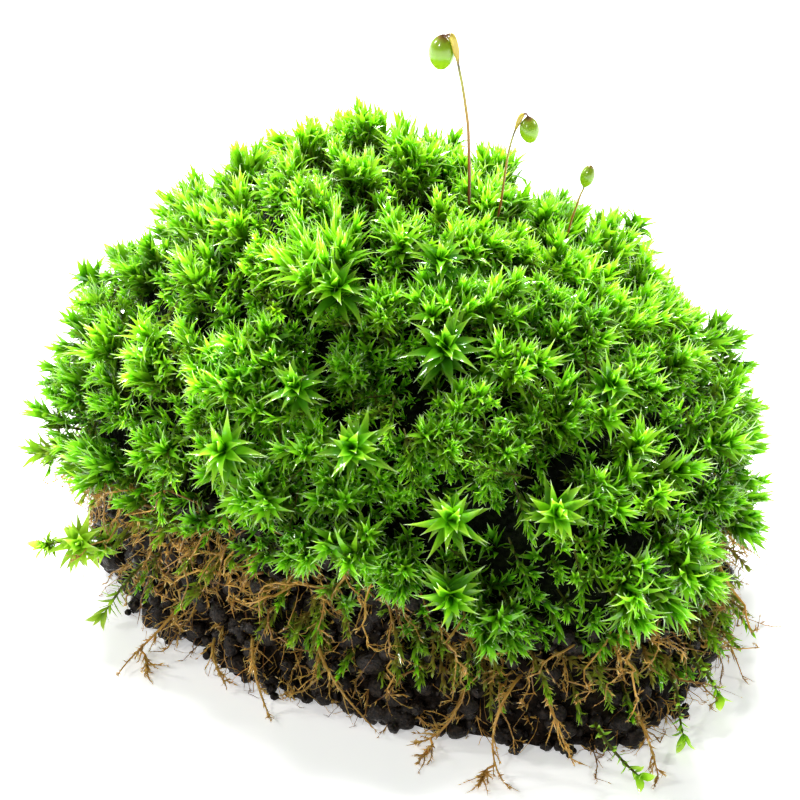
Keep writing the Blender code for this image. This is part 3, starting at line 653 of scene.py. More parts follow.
# Fine shoots fill the tufts, tall in a tuft's middle and low and leaning out at its edge.
ways = even_directions(FINE_SHOOTS, -0.17)
dice = np.random.default_rng(4)
ways = unit(ways + dice.normal(0, 0.024, ways.shape))
push, _ = tuft_push(ways)
hollow = nearness(ways, hollow_ways, 0.07)
star_near = nearness(ways, star_ways, 0.075)
kept = dice.random(len(ways)) > 0.75 * hollow + 0.35 * star_near
thick = cover(ways)
kept &= dice.random(len(ways)) < thick + 0.06
ways, push, hollow, star_near, thick = (values[kept] for values in (ways, push, hollow, star_near, thick))
edge = np.linalg.norm(push, axis=-1)
tip_rise = 0.5 * MM - 2.6 * MM * edge ** 2 - 2.2 * MM * hollow - 0.5 * MM * star_near
tip_rise += dice.normal(0, 0.6 * MM, len(ways)) - dip(ways)
height = 5.6 * MM + dice.normal(0, 0.5 * MM, len(ways))
tip = HEART + ways * (cushion_reach(ways) + tip_rise)[:, None]
way = growing_way(ways)
lean = 0.34 * push + dice.normal(0, 0.2, ways.shape)
foot = tip - height[:, None] * (way + lean)
foot[:, 2] = np.maximum(foot[:, 2], seam(foot) + 0.2 * MM)
size = dice.uniform(0.7, 1.35, len(ways))
tone = np.clip(sunlit(tip) + dice.normal(0, 0.1, len(ways)), 0, 1.2)
age = np.clip(0.5 - (tip[:, 2] - seam(tip)) / (9 * MM), 0, 0.5) * dice.uniform(0.3, 1.3, len(ways))
age = np.clip(age + 0.35 * (1 - thick) * dice.random(len(ways)), 0, 0.7)
azimuth = np.arctan2(ways[:, 1], ways[:, 0])
order = np.argsort(azimuth)
for number, part in enumerate(np.array_split(order, 3), 1):
    batch = shoots(foot[part], way[part], lean[part], height[part], FINE_LEAVES, 0.3, (1.1, 0.3),
                   1.9 * MM * size[part], 0.46 * MM * size[part] ** 0.5, 0.45, FINE_LEAF, 0.0, tone[part], age[part], 0.12,
                   0.13 * MM, 60 + number)
    leafy_piece(f"moss_fine_shoots_{number}", batch, moss_leaf, "moss", "moss_cushion")

# Brush shoots: the broad-leaved ones, three or so to a tuft, whose long leaves splay like a shaving brush.
dice = np.random.default_rng(8)
spots = np.repeat(np.arange(len(tuft_ways)), BRUSH_SHOOTS)
first_side, second_side = side_ways(tuft_ways[spots])
turn = dice.uniform(0, 2 * math.pi, len(tuft_ways))[spots] + GOLDEN * np.arange(len(spots))
off = 0.06 * np.sqrt(dice.uniform(0.05, 1.5, len(spots))) * (0.4 + 0.7 * tuft_sizes[spots])
ways = unit(tuft_ways[spots] + (first_side * np.cos(turn)[:, None] + second_side * np.sin(turn)[:, None])
            * off[:, None])
size = tuft_sizes[spots] * dice.uniform(0.85, 1.1, len(spots))
kept = (nearness(ways, star_ways, 0.075) < 0.5) & (dice.random(len(ways)) < cover(ways) ** 2)
ways, size = ways[kept], size[kept]
push, _ = tuft_push(ways)
way = growing_way(ways)
lean = 0.4 * push + dice.normal(0, 0.06, ways.shape)
tip_rise = (3.0 * size - 1.9) * MM - 1.6 * MM * nearness(ways, hollow_ways, 0.07)
tip_rise += dice.normal(0, 0.4 * MM, len(ways)) - dip(ways)
height = 5.2 * MM * size ** 0.5
tip = HEART + ways * (cushion_reach(ways) + tip_rise)[:, None]
foot = tip - height[:, None] * (way + lean)
foot[:, 2] = np.maximum(foot[:, 2], seam(foot) + 0.3 * MM)
tone = np.clip(0.05 + sunlit(tip) + dice.normal(0, 0.12, len(ways)), 0, 1.2)
age = np.clip(0.4 - (tip[:, 2] - seam(tip)) / (9 * MM), 0, 0.4)
batch = shoots(foot, way, lean, height, BRUSH_LEAVES, 0.3, (0.75, 0.12), 3.9 * MM * size, 0.8 * MM * size, 0.25,
               LANCE_LEAF, 0.0, tone, age, 0.1, 0.2 * MM, 9)
leafy_piece("moss_brush_shoots", batch, moss_leaf, "moss", "moss_cushion")

# Great brushes: three upright bunches of the longest leaves.
GREAT_BRUSHES = ((224, 68, 1.0), (292, 62, 0.7), (215, 36, 0.75))  # degrees round and up, and size
BUNCH = 11
for number, (turn, lift, size) in enumerate(GREAT_BRUSHES):
    dice = np.random.default_rng(30 + number)
    middle = heading(turn, lift)
    way = np.repeat(unit(middle[None] + (-0.15, 0, 0.8)), BUNCH, 0)
    side, second = side_ways(way)
    turn = (GOLDEN * np.arange(BUNCH))[:, None]
    off = (side * np.cos(turn) + second * np.sin(turn)) * np.sqrt(np.arange(BUNCH) / BUNCH)[:, None]
    foot = HEART + middle * (cushion_reach(middle[None]) - 4.0 * MM)[:, None] + off * 2.6 * MM * size
    batch = shoots(foot, way, 0.3 * off + dice.normal(0, 0.05, way.shape), dice.uniform(5.6, 6.6, BUNCH) * MM * size ** 0.3,
                   BRUSH_LEAVES, 0.25, (0.6, 0.08), dice.uniform(4.8, 5.6, BUNCH) * MM * size,
                   dice.uniform(0.68, 0.85, BUNCH) * MM, 0.3, LANCE_LEAF, 0.0, dice.uniform(0.4, 1.0, BUNCH),
                   np.zeros(BUNCH), 0.05, 0.2 * MM, 33 + number)
    leafy_piece(f"moss_great_brush_{number + 1}", batch, moss_leaf, "moss", "moss_cushion")

# Creeping sprigs: longer, feathery shoots that lie over the others, mostly down the slope.
SPRIGS = 170
dice = np.random.default_rng(10)
ways = heading(dice.uniform(0, 360, SPRIGS), dice.uniform(7, 64, SPRIGS))
bareness = 1 - cover(ways)
down = unit(ways * ways[:, 2:] - (0, 0, 1.0))
across = np.cross(ways, down)
slant = dice.normal(0, 1.0, (SPRIGS, 1))
way = unit(ways * dice.uniform(0.0, 0.3, (SPRIGS, 1)) + down * np.cos(slant) + across * np.sin(slant))
sink = dice.uniform(-0.2, 1.4, SPRIGS) * MM + 1.4 * DIP * nearness(ways, dip_ways, 0.3)
foot = HEART + ways * (cushion_reach(ways) - sink)[:, None]
tone = np.clip(0.3 + sunlit(foot), 0, 1.2)
batch = shoots(foot, way, -0.12 * ways + dice.normal(0, 0.1, way.shape), dice.uniform(4.5, 8.5, SPRIGS) * MM, 46, 0.08,
               (0.95, 0.3), dice.uniform(1.3, 2.0, SPRIGS) * MM, dice.uniform(0.32, 0.42, SPRIGS) * MM, 0.2,
               FINE_LEAF, 0.0, tone, np.clip(dice.uniform(-0.1, 0.1, SPRIGS) + 0.3 * bareness, 0, 1), 0.1, 0.12 * MM, 11)
leafy_piece("moss_creeping_sprigs", batch, moss_leaf, "moss", "moss_cushion")

# Soil between the old shoots: crumbs that lie on the mat where the cushion is bare, and some all round its rim.
MAT_CRUMBS = 420


def bare_places(count, depth, seed):
    """Places under the cushion's face: most of them low on the bare side, the rest anywhere along the rim."""
    dice = np.random.default_rng(seed)
    aside = np.where(dice.random(count) < 0.7, dice.normal(0, 32, count), dice.uniform(-180, 180, count))
    near = np.exp(-((aside + 180) % 360 - 180) ** 2 / 2400)
    ways = heading(BARE_SIDE + aside, -9 + (4 + 15 * near) * dice.random(count))
    return HEART + ways * (cushion_reach(ways) - dice.uniform(*depth, count) * MM)[:, None]


dice = np.random.default_rng(25)
centre = bare_places(MAT_CRUMBS, (2.6, 4.4), 26)
points, faces = balls(centre, dice.uniform(0.35, 1.1, MAT_CRUMBS) * MM, 5, 9, 0.09, 27)
piece = new_piece("soil_between_shoots", points.reshape(-1, 3), faces, crumb_soil, "soil")
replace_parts(piece, "moss_cushion")

# Drooping shoots: old, olive to brown ones that hang from the cushion's lower rim over the soil.
DROOPING_SHOOTS = 200
dice = np.random.default_rng(12)
turn = dice.uniform(0, 2 * math.pi, DROOPING_SHOOTS)
foot = clod_side(turn, dice.uniform(0.75, 1.3, DROOPING_SHOOTS))
out = unit(foot * (1, 1, 0))
foot += out * (dice.uniform(-0.5, 1.5, DROOPING_SHOOTS) * MM)[:, None]
way = unit(out + dice.normal(0, 0.3, out.shape) * (1, 1, 0.3) - (0, 0, 0.35))
lean = np.array([0, 0, -0.5]) + dice.normal(0, 0.12, out.shape)
height = dice.uniform(1.8, 5.0, DROOPING_SHOOTS) * MM
age = dice.uniform(0.0, 0.8, DROOPING_SHOOTS)
batch = shoots(foot, way, lean, height, 30, 0.15, (0.95, 0.3), dice.uniform(1.2, 2.0, DROOPING_SHOOTS) * MM,
               dice.uniform(0.35, 0.5, DROOPING_SHOOTS) * MM, 0.3, FINE_LEAF, 0.0,
               dice.uniform(0.3, 0.9, DROOPING_SHOOTS), age, 0.4, 0.15 * MM, 13)
leafy_piece("moss_drooping_shoots", batch, moss_leaf, "moss", "moss_cushion")

# Star shoots: larger plants of another moss, each an open star of broad, keeled leaves round a bright bud,
# standing between the tufts. The leaves are glossy, and their thin tips curl back.
WHORLS = (  # leaves, share of the star's reach, radians off the stem, curl, width share, height on the stem
    (7, 0.92, 1.3, 0.5, 0.85, -0.6),
    (7, 1.12, 1.0, 0.8, 1.0, -0.15),
    (7, 1.08, 0.7, 1.0, 1.05, 0.25),
    (6, 0.86, 0.42, 0.9, 1.1, 0.6),
    (5, 0.6, 0.2, 0.5, 1.15, 0.9),
)
STAR_LEAF_WIDTH = 0.26  # of the star's reach
STAR_SINK = 0.9 * MM  # of each star's middle, towards the heart, so that its lowest leaves lie on the tufts

star_leaf = leaf_finish("star_leaf", base=(0.015, 0.13, 0.001), middle=(0.12, 0.43, 0.003), tip=(0.48, 0.8, 0.05),
                        old=(0.10, 0.065, 0.012), thin=0.5, roughness=0.45)


def star(centre, way, reach, seed):
    """One star: whorls of leaves round the stem, from the widest at the bottom to the bud, with each leaf's
    direction a cone's slant and random changes to its length, slant, turn and roll."""
    dice = np.random.default_rng(seed)
    side, second = side_ways(way[None])
    bright = dice.uniform(-0.1, 0.35)
    batches = []
    for leaves, share, slant, curl, wide, up in WHORLS:
        turn = (np.arange(leaves) / leaves * 2 * math.pi + dice.uniform(0, 6) + dice.normal(0, 0.3, leaves))[:, None]
        radial = side * np.cos(turn) + second * np.sin(turn)
        slants = (slant + dice.normal(0, 0.2, leaves))[:, None]
        along = way * np.cos(slants) + radial * np.sin(slants)
        across = unit(np.cross(way[None], along))
        away = np.cross(across, along)
        roll = dice.normal(0, 0.35, (leaves, 1))
        across, away = across * np.cos(roll) + away * np.sin(roll), away * np.cos(roll) - across * np.sin(roll)
        root = centre + way * (up - 0.8) * 0.3 * reach + radial * 0.05 * reach
        points, faces, along_leaf = blades(
            root, along, away, across, reach * share * dice.uniform(0.66, 1.15, leaves),
            np.full(leaves, STAR_LEAF_WIDTH * reach * wide), curl + dice.normal(0, 0.45, leaves), BROAD_LEAF, 0.4)
        corners = points.shape[1]
        # The last mark is painted shade: the finish darkens the lower whorls by 0.5 - 0.35 * up.
        marks = [along_leaf.reshape(-1), np.repeat(dice.uniform(0.2, 0.7, leaves) + bright, corners),
                 np.zeros(leaves * corners), np.full(leaves * corners, 0.5 - 0.35 * up)]
        batches.append((points.reshape(-1, 3), faces, marks))
    return joined(batches)


for number, (name, centre) in enumerate(star_centres.items(), 1):
    low, high = (np.array(corner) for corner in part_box(name))
    reach = 0.52 * np.sort(high - low)[-2:].mean()
    outward = unit(centre - HEART)[None]
    centre = centre - STAR_SINK * outward[0]
    way = unit(growing_way(outward)[0])
    foot = HEART + outward * (cushion_reach(outward) - CORE_DEPTH - 0.5 * MM)[:, None]
    stem = centre - foot - 0.15 * reach * way
    stem_length = np.linalg.norm(stem, axis=-1)
    leafy_stem = shoots(foot, unit(stem), np.zeros((1, 3)), stem_length, 34, 0.05, (1.2, 0.9),
                        np.full(1, 0.5 * reach), np.full(1, 0.13 * reach), 0.6, LANCE_LEAF, 0.0, np.full(1, 0.4),
                        np.full(1, 0.1), 0.3, 0.3 * MM, 210 + number)
    batch = joined([star(centre, way, reach, 70 + number), leafy_stem])
    leafy_piece(f"{name}_leaves", batch, star_leaf, "star_leaf", name)

# Brown stems: last year's shoots, dead and stripped to short withered leaves and root hairs, that hang out of
# the clod and lie along the ground. They are wiry and golden brown.
LOOSE_STEMS, MAT_STEMS = 340, 90  # in all, and those of them that start on the bare mat

old_stem = leaf_finish("old_stem", base=(0.6, 0.35, 0.065), middle=(0.74, 0.46, 0.1), tip=(0.97, 0.86, 0.36),
                       old=(0.2, 0.085, 0.022), thin=0.3, roughness=0.4)
HAIR = np.array([(0, 1.0), (0.45, 0.75), (1, 0)])


def run_of(name, stops=12):
    """The run of a packed stem, from its upper end: a cubic curve through its corners, along their longest
    direction."""
    corners = points_of(name)
    middle = corners.mean(0)
    _, _, axes = np.linalg.svd(corners - middle)
    place = (corners - middle) @ axes[0]
    share = np.linspace(place.min(), place.max(), stops)
    run = np.stack([np.polyval(np.polyfit(place, corners[:, column], 3), share) for column in range(3)], -1)
    return run if run[0, 2] > run[-1, 2] else run[::-1]


def hairy_stem(runs, radii, hairs, hair, ageing, sides, seed):
    """Stems as tubes along runs (stems, points, 3), with thin hairs set round them that slant towards the tip."""
    dice = np.random.default_rng(seed)
    count, stops, _ = runs.shape
    taper = radii[:, None] * np.linspace(1, 0.3, stops)
    points, faces = tubes(runs, taper, sides)
    tone = dice.uniform(0.2, 0.8, count)
    shape = points.shape[:2]
    marks = [np.full(shape, 0.4), np.broadcast_to(tone[:, None], shape),
             np.broadcast_to(dice.uniform(0, ageing, (count, 1)), shape), np.full(shape, 0.3)]
    stem = (points.reshape(-1, 3), faces, [mark.ravel() for mark in marks])
    place = dice.uniform(0.06, 0.97, (count, hairs)) * (stops - 1)
    index = np.minimum(place.astype(int), stops - 2)
    part = (place - index)[..., None]
    row = np.arange(count)[:, None]
    root = runs[row, index] * (1 - part) + runs[row, index + 1] * part
    axis = unit(runs[row, index + 1] - runs[row, index])
    side, second = side_ways(axis)
    turn = dice.uniform(0, 2 * math.pi, (count, hairs, 1))
    radial = side * np.cos(turn) + second * np.sin(turn)
    slant = dice.uniform(0.5, 1.15, (count, hairs, 1))
    along = axis * np.cos(slant) + radial * np.sin(slant)
    across = unit(np.cross(axis, along))
    away = np.cross(across, along)
    length = hair * dice.uniform(0.4, 1.3, (count, hairs)) * (1.15 - place / (stops - 1) * 0.7)
    leaves, leaf_faces, reach = blades(
        *(values.reshape(-1, 3) for values in (root, along, away, across)), length.ravel(),
        0.24 * length.ravel(), dice.normal(-0.3, 0.7, length.size), HAIR, 0.0)
    corners = leaves.shape[1]
    leaf_marks = [reach.reshape(-1), np.repeat(dice.uniform(0.1, 0.9, length.size), corners),
                  np.repeat(dice.uniform(0, 0.7, length.size), corners), np.full(length.size * corners, 0.2)]
    return joined([stem, (leaves.reshape(-1, 3), leaf_faces, leaf_marks)])


def twigs(runs, count, length, seed):
    """Short side branches: each leaves its stem at a slant, and bends on towards the stem's tip and down."""
    dice = np.random.default_rng(seed)
    stems, stops, _ = runs.shape
    index = dice.integers(1, stops - 1, (stems, count))
    row = np.arange(stems)[:, None]
    axis = unit(runs[row, index + 1] - runs[row, index])
    side, second = side_ways(axis)
    turn = dice.uniform(0, 2 * math.pi, (stems, count, 1))
    radial = side * np.cos(turn) + second * np.sin(turn)
    slant = dice.uniform(0.5, 1.0, (stems, count, 1))
    way = axis * np.cos(slant) + radial * np.sin(slant)
    reach = length * dice.uniform(0.5, 1.2, (stems, count, 1, 1))
    t = np.linspace(0, 1, 5)[:, None]
    bend = 0.3 * axis[:, :, None] + dice.normal(0, 0.2, (stems, count, 1, 3))
    paths = runs[row, index][:, :, None] + reach * (way[:, :, None] * t + bend * t * t)
    paths[..., 2] = np.maximum(paths[..., 2], 0.15 * MM)
    return paths.reshape(-1, 5, 3)


for number, name in enumerate(sorted(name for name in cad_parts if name.startswith("brown_stem_"))):
    run = run_of(name)[None]
    if name.endswith("_fork"):
        parent = run_of(name[:-len("_fork")], 60)
        joint = parent[np.linalg.norm(parent - run[0, 0], axis=-1).argmin()]
        run = np.concatenate([joint[None, None], run], 1)
    radius = np.array([0.13 * MM if name.endswith("fork") else 0.2 * MM])
    side_runs = twigs(run, 6, 2.2 * MM, 160 + number)
    batch = joined([hairy_stem(run, radius, 90, 1.0 * MM, 0.4, 6, 100 + number),
                    hairy_stem(side_runs, np.full(6, 0.09 * MM), 14, 0.8 * MM, 0.5, 4, 180 + number)])
    leafy_piece(f"{name}_hairs", batch, old_stem, "brown_stem", name)

# Loose stems and threads of the same kind cover the whole of the clod's side.
dice = np.random.default_rng(15)
low_stems = LOOSE_STEMS - MAT_STEMS
start = np.concatenate([clod_side(dice.uniform(0, 2 * math.pi, low_stems), dice.uniform(0.3, 1.35, low_stems)),
                        bare_places(MAT_STEMS, (1.8, 3.4), 28)])
out = unit(start * (1, 1, 0))
round_way = np.cross((0, 0, 1.0), out)
slope = dice.normal(0, 1.7, (LOOSE_STEMS, 1))
stops = np.linspace(0, 1, 9)[:, None]
run_length = dice.uniform(3, 8.5, LOOSE_STEMS)[:, None, None] * MM
drop = unit(round_way * slope - (0, 0, 1.0))
wander = dice.normal(0, 0.4, (LOOSE_STEMS, 1, 3)) * np.sin(stops * math.pi) + 0.08 * dice.normal(
    size=(LOOSE_STEMS, 9, 3))
bow = out[:, None] * (0.2 + dice.uniform(0, 0.5, (LOOSE_STEMS, 1, 1)) * stops)
runs = start[:, None] + run_length * (drop[:, None] * stops + bow * stops + wander * 0.6)
runs[..., 2] = np.maximum(runs[..., 2], 0.3 * MM)
side_runs = twigs(runs, 3, 2.4 * MM, 18)
batch = joined([hairy_stem(runs, dice.uniform(0.09, 0.18, LOOSE_STEMS) * MM, 32, 0.85 * MM, 1.0, 5, 16),
                hairy_stem(side_runs, dice.uniform(0.05, 0.09, len(side_runs)) * MM, 7, 0.8 * MM, 1.0, 3, 19)])
leafy_piece("loose_brown_stems", batch, old_stem, "brown_stem", "soil_clod")

THREADS = 500
dice = np.random.default_rng(17)
start = clod_side(dice.uniform(0, 2 * math.pi, THREADS), dice.uniform(0.05, 1.25, THREADS))
out = unit(start * (1, 1, 0))
round_way = np.cross((0, 0, 1.0), out)
stops = np.linspace(0, 1, 7)[:, None]
run_length = dice.uniform(1.5, 6, THREADS)[:, None, None] * MM
drop = unit(round_way * dice.normal(0, 1.2, (THREADS, 1)) - (0, 0, 1.0) + out * dice.uniform(0, 0.6, (THREADS, 1)))
runs = start[:, None] + run_length * (drop[:, None] * stops + out[:, None] * 0.3 * np.sin(stops * math.pi)
                                      + dice.normal(0, 0.05, (THREADS, 7, 3)))
runs += out[:, None] * 0.3 * MM
runs[..., 2] = np.maximum(runs[..., 2], 0.12 * MM)
points, faces = tubes(runs, dice.uniform(0.035, 0.075, (THREADS, 1)) * MM * np.linspace(1, 0.6, 7), 3)
shape = points.shape[:2]
tone = np.broadcast_to(dice.uniform(0, 1, (THREADS, 1)), shape)
age = np.broadcast_to(dice.uniform(0, 1, (THREADS, 1)), shape)
batch = (points.reshape(-1, 3), faces, [np.full(shape, 0.5).ravel(), tone.ravel(), age.ravel(), np.zeros(shape).ravel()])
leafy_piece("root_threads", batch, old_stem, "brown_stem", "soil_clod")

# Trailing shoots: leafy shoots of a third kind that creep out from under the cushion's lower edge, with
# broad, pale, pointed leaves on a dark wiry stem.
OVATE_LEAF = np.array([(0, 0.2), (0.18, 0.7), (0.4, 1.0), (0.62, 0.86), (0.82, 0.45), (1, 0)])
trailing_leaf = leaf_finish("trailing_leaf", base=(0.1, 0.28, 0.004), middle=(0.3, 0.6, 0.02),
                            tip=(0.55, 0.8, 0.1), old=(0.09, 0.05, 0.015), thin=0.45, roughness=0.35)
TRAILING_LEAVES = {  # leaves, length, width as a share of it, and how brown they are
    "trailing_shoot_left": (26, 1.8 * MM, 0.22, 0.25),
    "trailing_shoot_low_left": (48, 2.1 * MM, 0.2, 0.4),
}
for number, name in enumerate(sorted(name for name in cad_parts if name.startswith("trailing_shoot_"))):
    run = run_of(name)
    dice = np.random.default_rng(130 + number)
    leaves, leaf_length, narrow, brown = TRAILING_LEAVES.get(name, (24, 1.5 * MM, 0.4, 0.0))
    place = np.append(np.linspace(0.1, 1, leaves), (0.97, 1.0, 1.0))
    leaves += 3
    root = np.stack([np.interp(place, np.linspace(0, 1, 12), run[:, column]) for column in range(3)], -1)
    axis = unit(np.stack([np.interp(place, np.linspace(0, 1, 12), np.gradient(run[:, column])) for column in range(3)],
                         -1))
    side, second = side_ways(axis)
    turn = (GOLDEN * np.arange(leaves))[:, None]
    radial = side * np.cos(turn) + second * np.sin(turn)
    slant = (1.25 - 0.75 * place ** 4 + dice.normal(0, 0.15, leaves))[:, None]
    along = axis * np.cos(slant) + radial * np.sin(slant)
    across = unit(np.cross(axis, along))
    away = np.cross(across, along)
    length = leaf_length * (0.6 + 0.4 * place) * dice.uniform(0.8, 1.15, leaves)
    width = length * narrow
    length[-3:], width[-3:] = 2.3 * MM, 1.1 * MM
    points, faces, reach = blades(root, along, away, across, length, width, dice.normal(0.2, 0.2, leaves),
                                  OVATE_LEAF, 0.3)
    corners = points.shape[1]
    marks = [reach.reshape(-1), np.repeat(dice.uniform(0.3, 0.9, leaves), corners), np.full(reach.size, brown),
             np.zeros(reach.size)]
    tube_points, tube_faces = tubes(run[None], 0.22 * MM * np.linspace(1, 0.5, 12)[None], 6)
    shape = tube_points.shape[:2]
    tube_marks = [np.full(shape, 0.2), np.full(shape, 0.3), np.full(shape, 0.8), np.full(shape, 0.3)]
    batches = [(points.reshape(-1, 3), faces, marks),
               (tube_points.reshape(-1, 3), tube_faces, [mark.ravel() for mark in tube_marks])]
    if name == "trailing_shoot_left":
        batches += [star(run[stop], unit(np.array(way)), reach * MM, 190 + stop)
                    for stop, way, reach in ((7, (-0.1, -0.85, 0.5), 3.6), (11, (-0.9, -0.3, 0.3), 1.9),
                                             (4, (0.1, -0.9, -0.3), 2.8))]
    leafy_piece(f"{name}_leaves", joined(batches), trailing_leaf, "trailing_leaf", name)

# Spore stalks and capsules: a wiry stalk, dark red at its foot and yellow-green above, ends in a thick yellow
# neck that bends over and holds a glossy green egg of a capsule. The shortest one still stands upright.
STALKS = {  # x and z along the stalk in mm, its y in mm, and its radius at the foot and at the top
    "tall": (((7.1, 46.6), (7.1, 50.0), (7.0, 53.2), (6.9, 55.5), (6.6, 57.9), (6.3, 59.9), (5.9, 62.0),
              (5.7, 63.4), (5.4, 64.8), (5.1, 65.5), (4.75, 65.5), (4.4, 65.25)), 0.4, 0.17, 0.13),
    "middle": (((10.1, 44.9), (10.4, 46.7), (10.7, 49.3), (11.0, 51.8), (11.4, 53.7), (11.9, 55.3),
                (12.3, 56.3), (12.75, 56.6), (13.0, 56.25)), 0.9, 0.13, 0.1),
    "short": (((17.3, 41.9), (17.5, 42.6), (17.8, 44.0), (18.2, 45.3), (18.6, 46.7), (18.85, 47.3), (18.97, 47.75)), 2.2, 0.12,
              0.1),
}
CAPSULES = {  # neck and end in mm, and radius
    "tall": ((4.35, 0.9, 65.3), (4.05, 1.7, 61.2), 1.36),
    "middle": ((13.0, 0.9, 56.3), (13.3, 0.9, 53.3), 1.02),
    "short": ((18.95, 2.2, 47.65), (19.6, 2.2, 50.2), 0.75),
}


def smooth_run(points, stops):
    """A smooth curve through points: a Catmull-Rom spline, evenly stopped."""
    points = np.asarray(points, float)
    ends = np.concatenate([[2 * points[0] - points[1]], points, [2 * points[-1] - points[-2]]])
    place = np.linspace(0, len(points) - 1, stops)
    index = np.minimum(place.astype(int), len(points) - 2)
    t = (place - index)[:, None]
    a, b, c, d = (ends[index + step] for step in range(4))
    return 0.5 * (2 * b + (c - a) * t + (2 * a - 5 * b + 4 * c - d) * t ** 2 + (3 * b - a - 3 * c + d) * t ** 3)


def along_finish(name, stops, roughness, coat, through=0.0):
    """A smooth waxy skin whose colour changes along the piece, by its mark along."""
    material, tree, shader = plain_material(name)
    along = node(tree, "Attribute", attribute_name="along").outputs["Fac"]
    place = node(tree, "TexCoord").outputs["Object"]
    blotch = node(tree, "TexNoise", {"Vector": place, "Scale": 900.0, "Detail": 3.0}).outputs[0]
    shift = node(tree, "MapRange", {"Value": blotch, "To Min": -0.05, "To Max": 0.05}).outputs[0]
    factor = node(tree, "Math", {0: along, 1: shift}, operation="ADD").outputs[0]
    colour = colour_ramp(tree, factor, stops)
    tree.links.new(colour, shader.inputs["Base Color"])
    relief = node(tree, "Bump", {"Strength": 0.15, "Distance": 0.05 * MM, "Height": blotch})
    tree.links.new(relief.outputs[0], shader.inputs["Normal"])
    shader.inputs["Roughness"].default_value = roughness
    shader.inputs["Coat Weight"].default_value = coat
    shader.inputs["Coat Roughness"].default_value = 0.05
    if through:
        light = node(tree, "BsdfTranslucent", {"Color": colour})
        both = node(tree, "MixShader", {0: through, 1: shader.outputs[0], 2: light.outputs[0]})
        tree.links.new(both.outputs[0], tree.nodes["Material Output"].inputs["Surface"])
    return material


stalk_skin = along_finish("stalk_skin", {0.0: (0.08, 0.012, 0.005), 0.13: (0.3, 0.09, 0.01), 0.32: (0.42, 0.25, 0.02),
                                         0.5: (0.33, 0.34, 0.03), 0.56: (0.06, 0.04, 0.01), 0.61: (0.5, 0.36, 0.04),
                                         0.8: (0.6, 0.5, 0.06), 0.86: (0.16, 0.07, 0.02), 1.0: (0.1, 0.04, 0.015)},
                          0.35, 0.3, 0.15)
capsule_skin = along_finish("capsule_skin", {0.0: (0.08, 0.03, 0.01), 0.06: (0.18, 0.12, 0.015), 0.14: (0.22, 0.33, 0.01),
                                             0.5: (0.26, 0.5, 0.008), 0.85: (0.36, 0.58, 0.012),
                                             1.0: (0.36, 0.5, 0.03)}, 0.3, 0.6, 0.25)
for label, (path, depth, foot_radius, top_radius) in STALKS.items():
    run = smooth_run([(x, depth, z) for x, z in path], 60) * MM
    share = np.linspace(0, 1, 60)
    radius = (foot_radius + (top_radius - foot_radius) * share) * MM
    radius *= 1 + 1.6 * np.exp(-((share - 0.72) / 0.11) ** 4) * (label != "short")
    points, faces = tubes(run[None], radius[None], 12)
    along = np.append(np.repeat(share[:-1], 12), (0.0, 1.0)) * (0.52 if label == "short" else 1.0)
    piece = new_piece(f"spore_stalk_{label}_skin", points.reshape(-1, 3), faces, stalk_skin, "spore_stalk", along=along)
    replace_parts(piece, f"spore_stalk_{label}")

EGG = np.array([(0.0, 0.13), (0.03, 0.24), (0.08, 0.42), (0.16, 0.66), (0.28, 0.88), (0.42, 0.99), (0.55, 1.0),
                (0.68, 0.92), (0.8, 0.74), (0.88, 0.56), (0.91, 0.5), (0.93, 0.4), (0.97, 0.2), (0.99, 0.1)])
for label, (neck, end, radius) in CAPSULES.items():
    neck, end = np.array(neck) * MM, np.array(end) * MM
    run = neck + (end - neck) * np.append(EGG[:, 0], 1.0)[:, None]
    widths = np.append(EGG[:, 1], 0.05) * radius * MM
    points, faces = tubes(run[None], widths[None], 28)
    along = np.append(np.repeat(EGG[:, 0], 28), (0.0, 1.0))
    along = 1 - along if label == "short" else along
    piece = new_piece(f"spore_capsule_{label}_skin", points.reshape(-1, 3), faces, capsule_skin, "spore_capsule",
                      along=along)
    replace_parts(piece, f"spore_capsule_{label}")

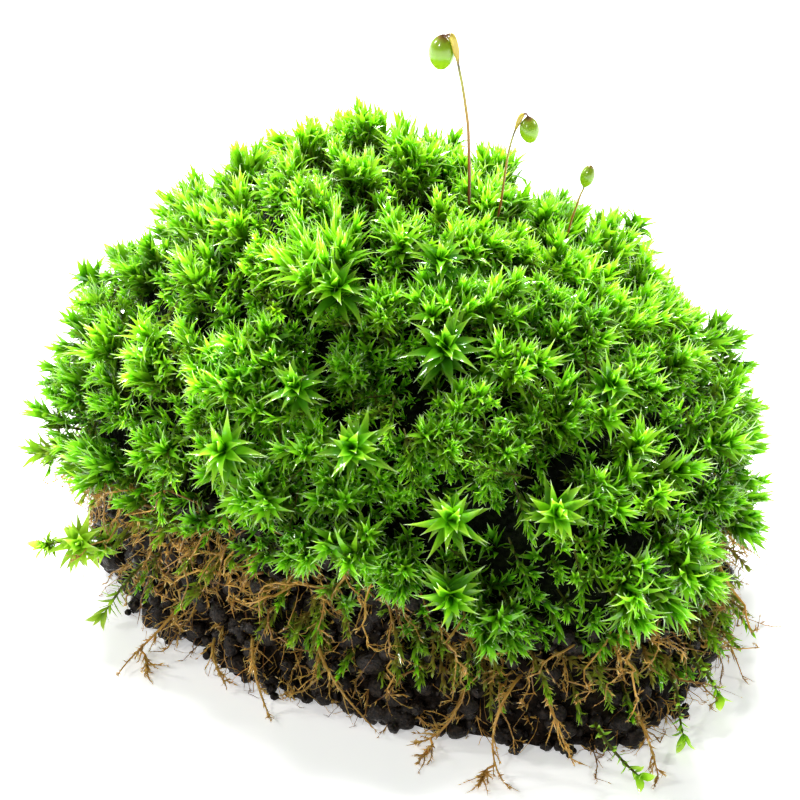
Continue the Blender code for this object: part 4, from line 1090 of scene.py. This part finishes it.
# Studio: a plain pale floor, a near-white surround and one large soft light above.
floor_material, tree, shader = plain_material("pale_floor")
shader.inputs["Base Color"].default_value = (0.85, 0.85, 0.85, 1)
shader.inputs["Roughness"].default_value = 0.9
shader.inputs["Specular IOR Level"].default_value = 0.0
shader.inputs["Emission Color"].default_value = (1, 1, 1, 1)
shader.inputs["Emission Strength"].default_value = 0.42
FLOOR_HALF = 3.0
floor_mesh = bpy.data.meshes.new("floor")
floor_mesh.from_pydata([(-FLOOR_HALF, -FLOOR_HALF, 0), (FLOOR_HALF, -FLOOR_HALF, 0), (FLOOR_HALF, FLOOR_HALF, 0),
                        (-FLOOR_HALF, FLOOR_HALF, 0)], [], [(0, 1, 2, 3)])
floor_mesh.materials.append(floor_material)
floor = bpy.data.objects.new("floor", floor_mesh)
bpy.context.scene.collection.objects.link(floor)
floor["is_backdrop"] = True

world = bpy.data.worlds.new("surround")
world.use_nodes = True
world.node_tree.nodes["Background"].inputs["Color"].default_value = (1, 1, 1, 1)
world.node_tree.nodes["Background"].inputs["Strength"].default_value = 0.16
bpy.context.scene.world = world


def aim(holder, place, target):
    """Put a light at a place, turned so that it shines on a target."""
    holder.location = place
    holder.rotation_euler = (Vector(target) - Vector(place)).to_track_quat("-Z", "Y").to_euler()
    bpy.context.scene.collection.objects.link(holder)


sky = bpy.data.lights.new("overhead_light", "SUN")
sky.energy, sky.angle = 10.5, math.radians(24)
aim(bpy.data.objects.new("overhead_light", sky), (-0.08, 0.32, 0.5), (0, 0, 0.02))
for label, power, size, place in (
        ("front_softbox", 0.75, 0.04, (-0.25, -0.35, 0.3)),
        ("left_softbox", 1.15, 0.08, (-0.45, 0.1, 0.28)),
        ("right_softbox", 1.15, 0.08, (0.45, 0.1, 0.28))):
    softbox = bpy.data.lights.new(label, "AREA")
    softbox.energy, softbox.size = power, size
    aim(bpy.data.objects.new(label, softbox), place, (0, 0, 0.03))

CAMERA_TARGET = (0, 0, 23.6 * MM)
CAMERA_DISTANCE = 360 * MM
CAMERA_RISE = math.radians(30)
lens = bpy.data.cameras.new("camera")
lens.lens, lens.sensor_width, lens.clip_start = 152.8, 36.0, 0.01
camera = bpy.data.objects.new("camera", lens)
camera.location = (0, -CAMERA_DISTANCE * math.cos(CAMERA_RISE),
                   CAMERA_TARGET[2] + CAMERA_DISTANCE * math.sin(CAMERA_RISE))
camera.rotation_euler = (math.pi / 2 - CAMERA_RISE, 0, 0)
bpy.context.scene.collection.objects.link(camera)
bpy.context.scene.camera = camera
bpy.context.scene.view_settings.view_transform = "Standard"

low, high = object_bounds()
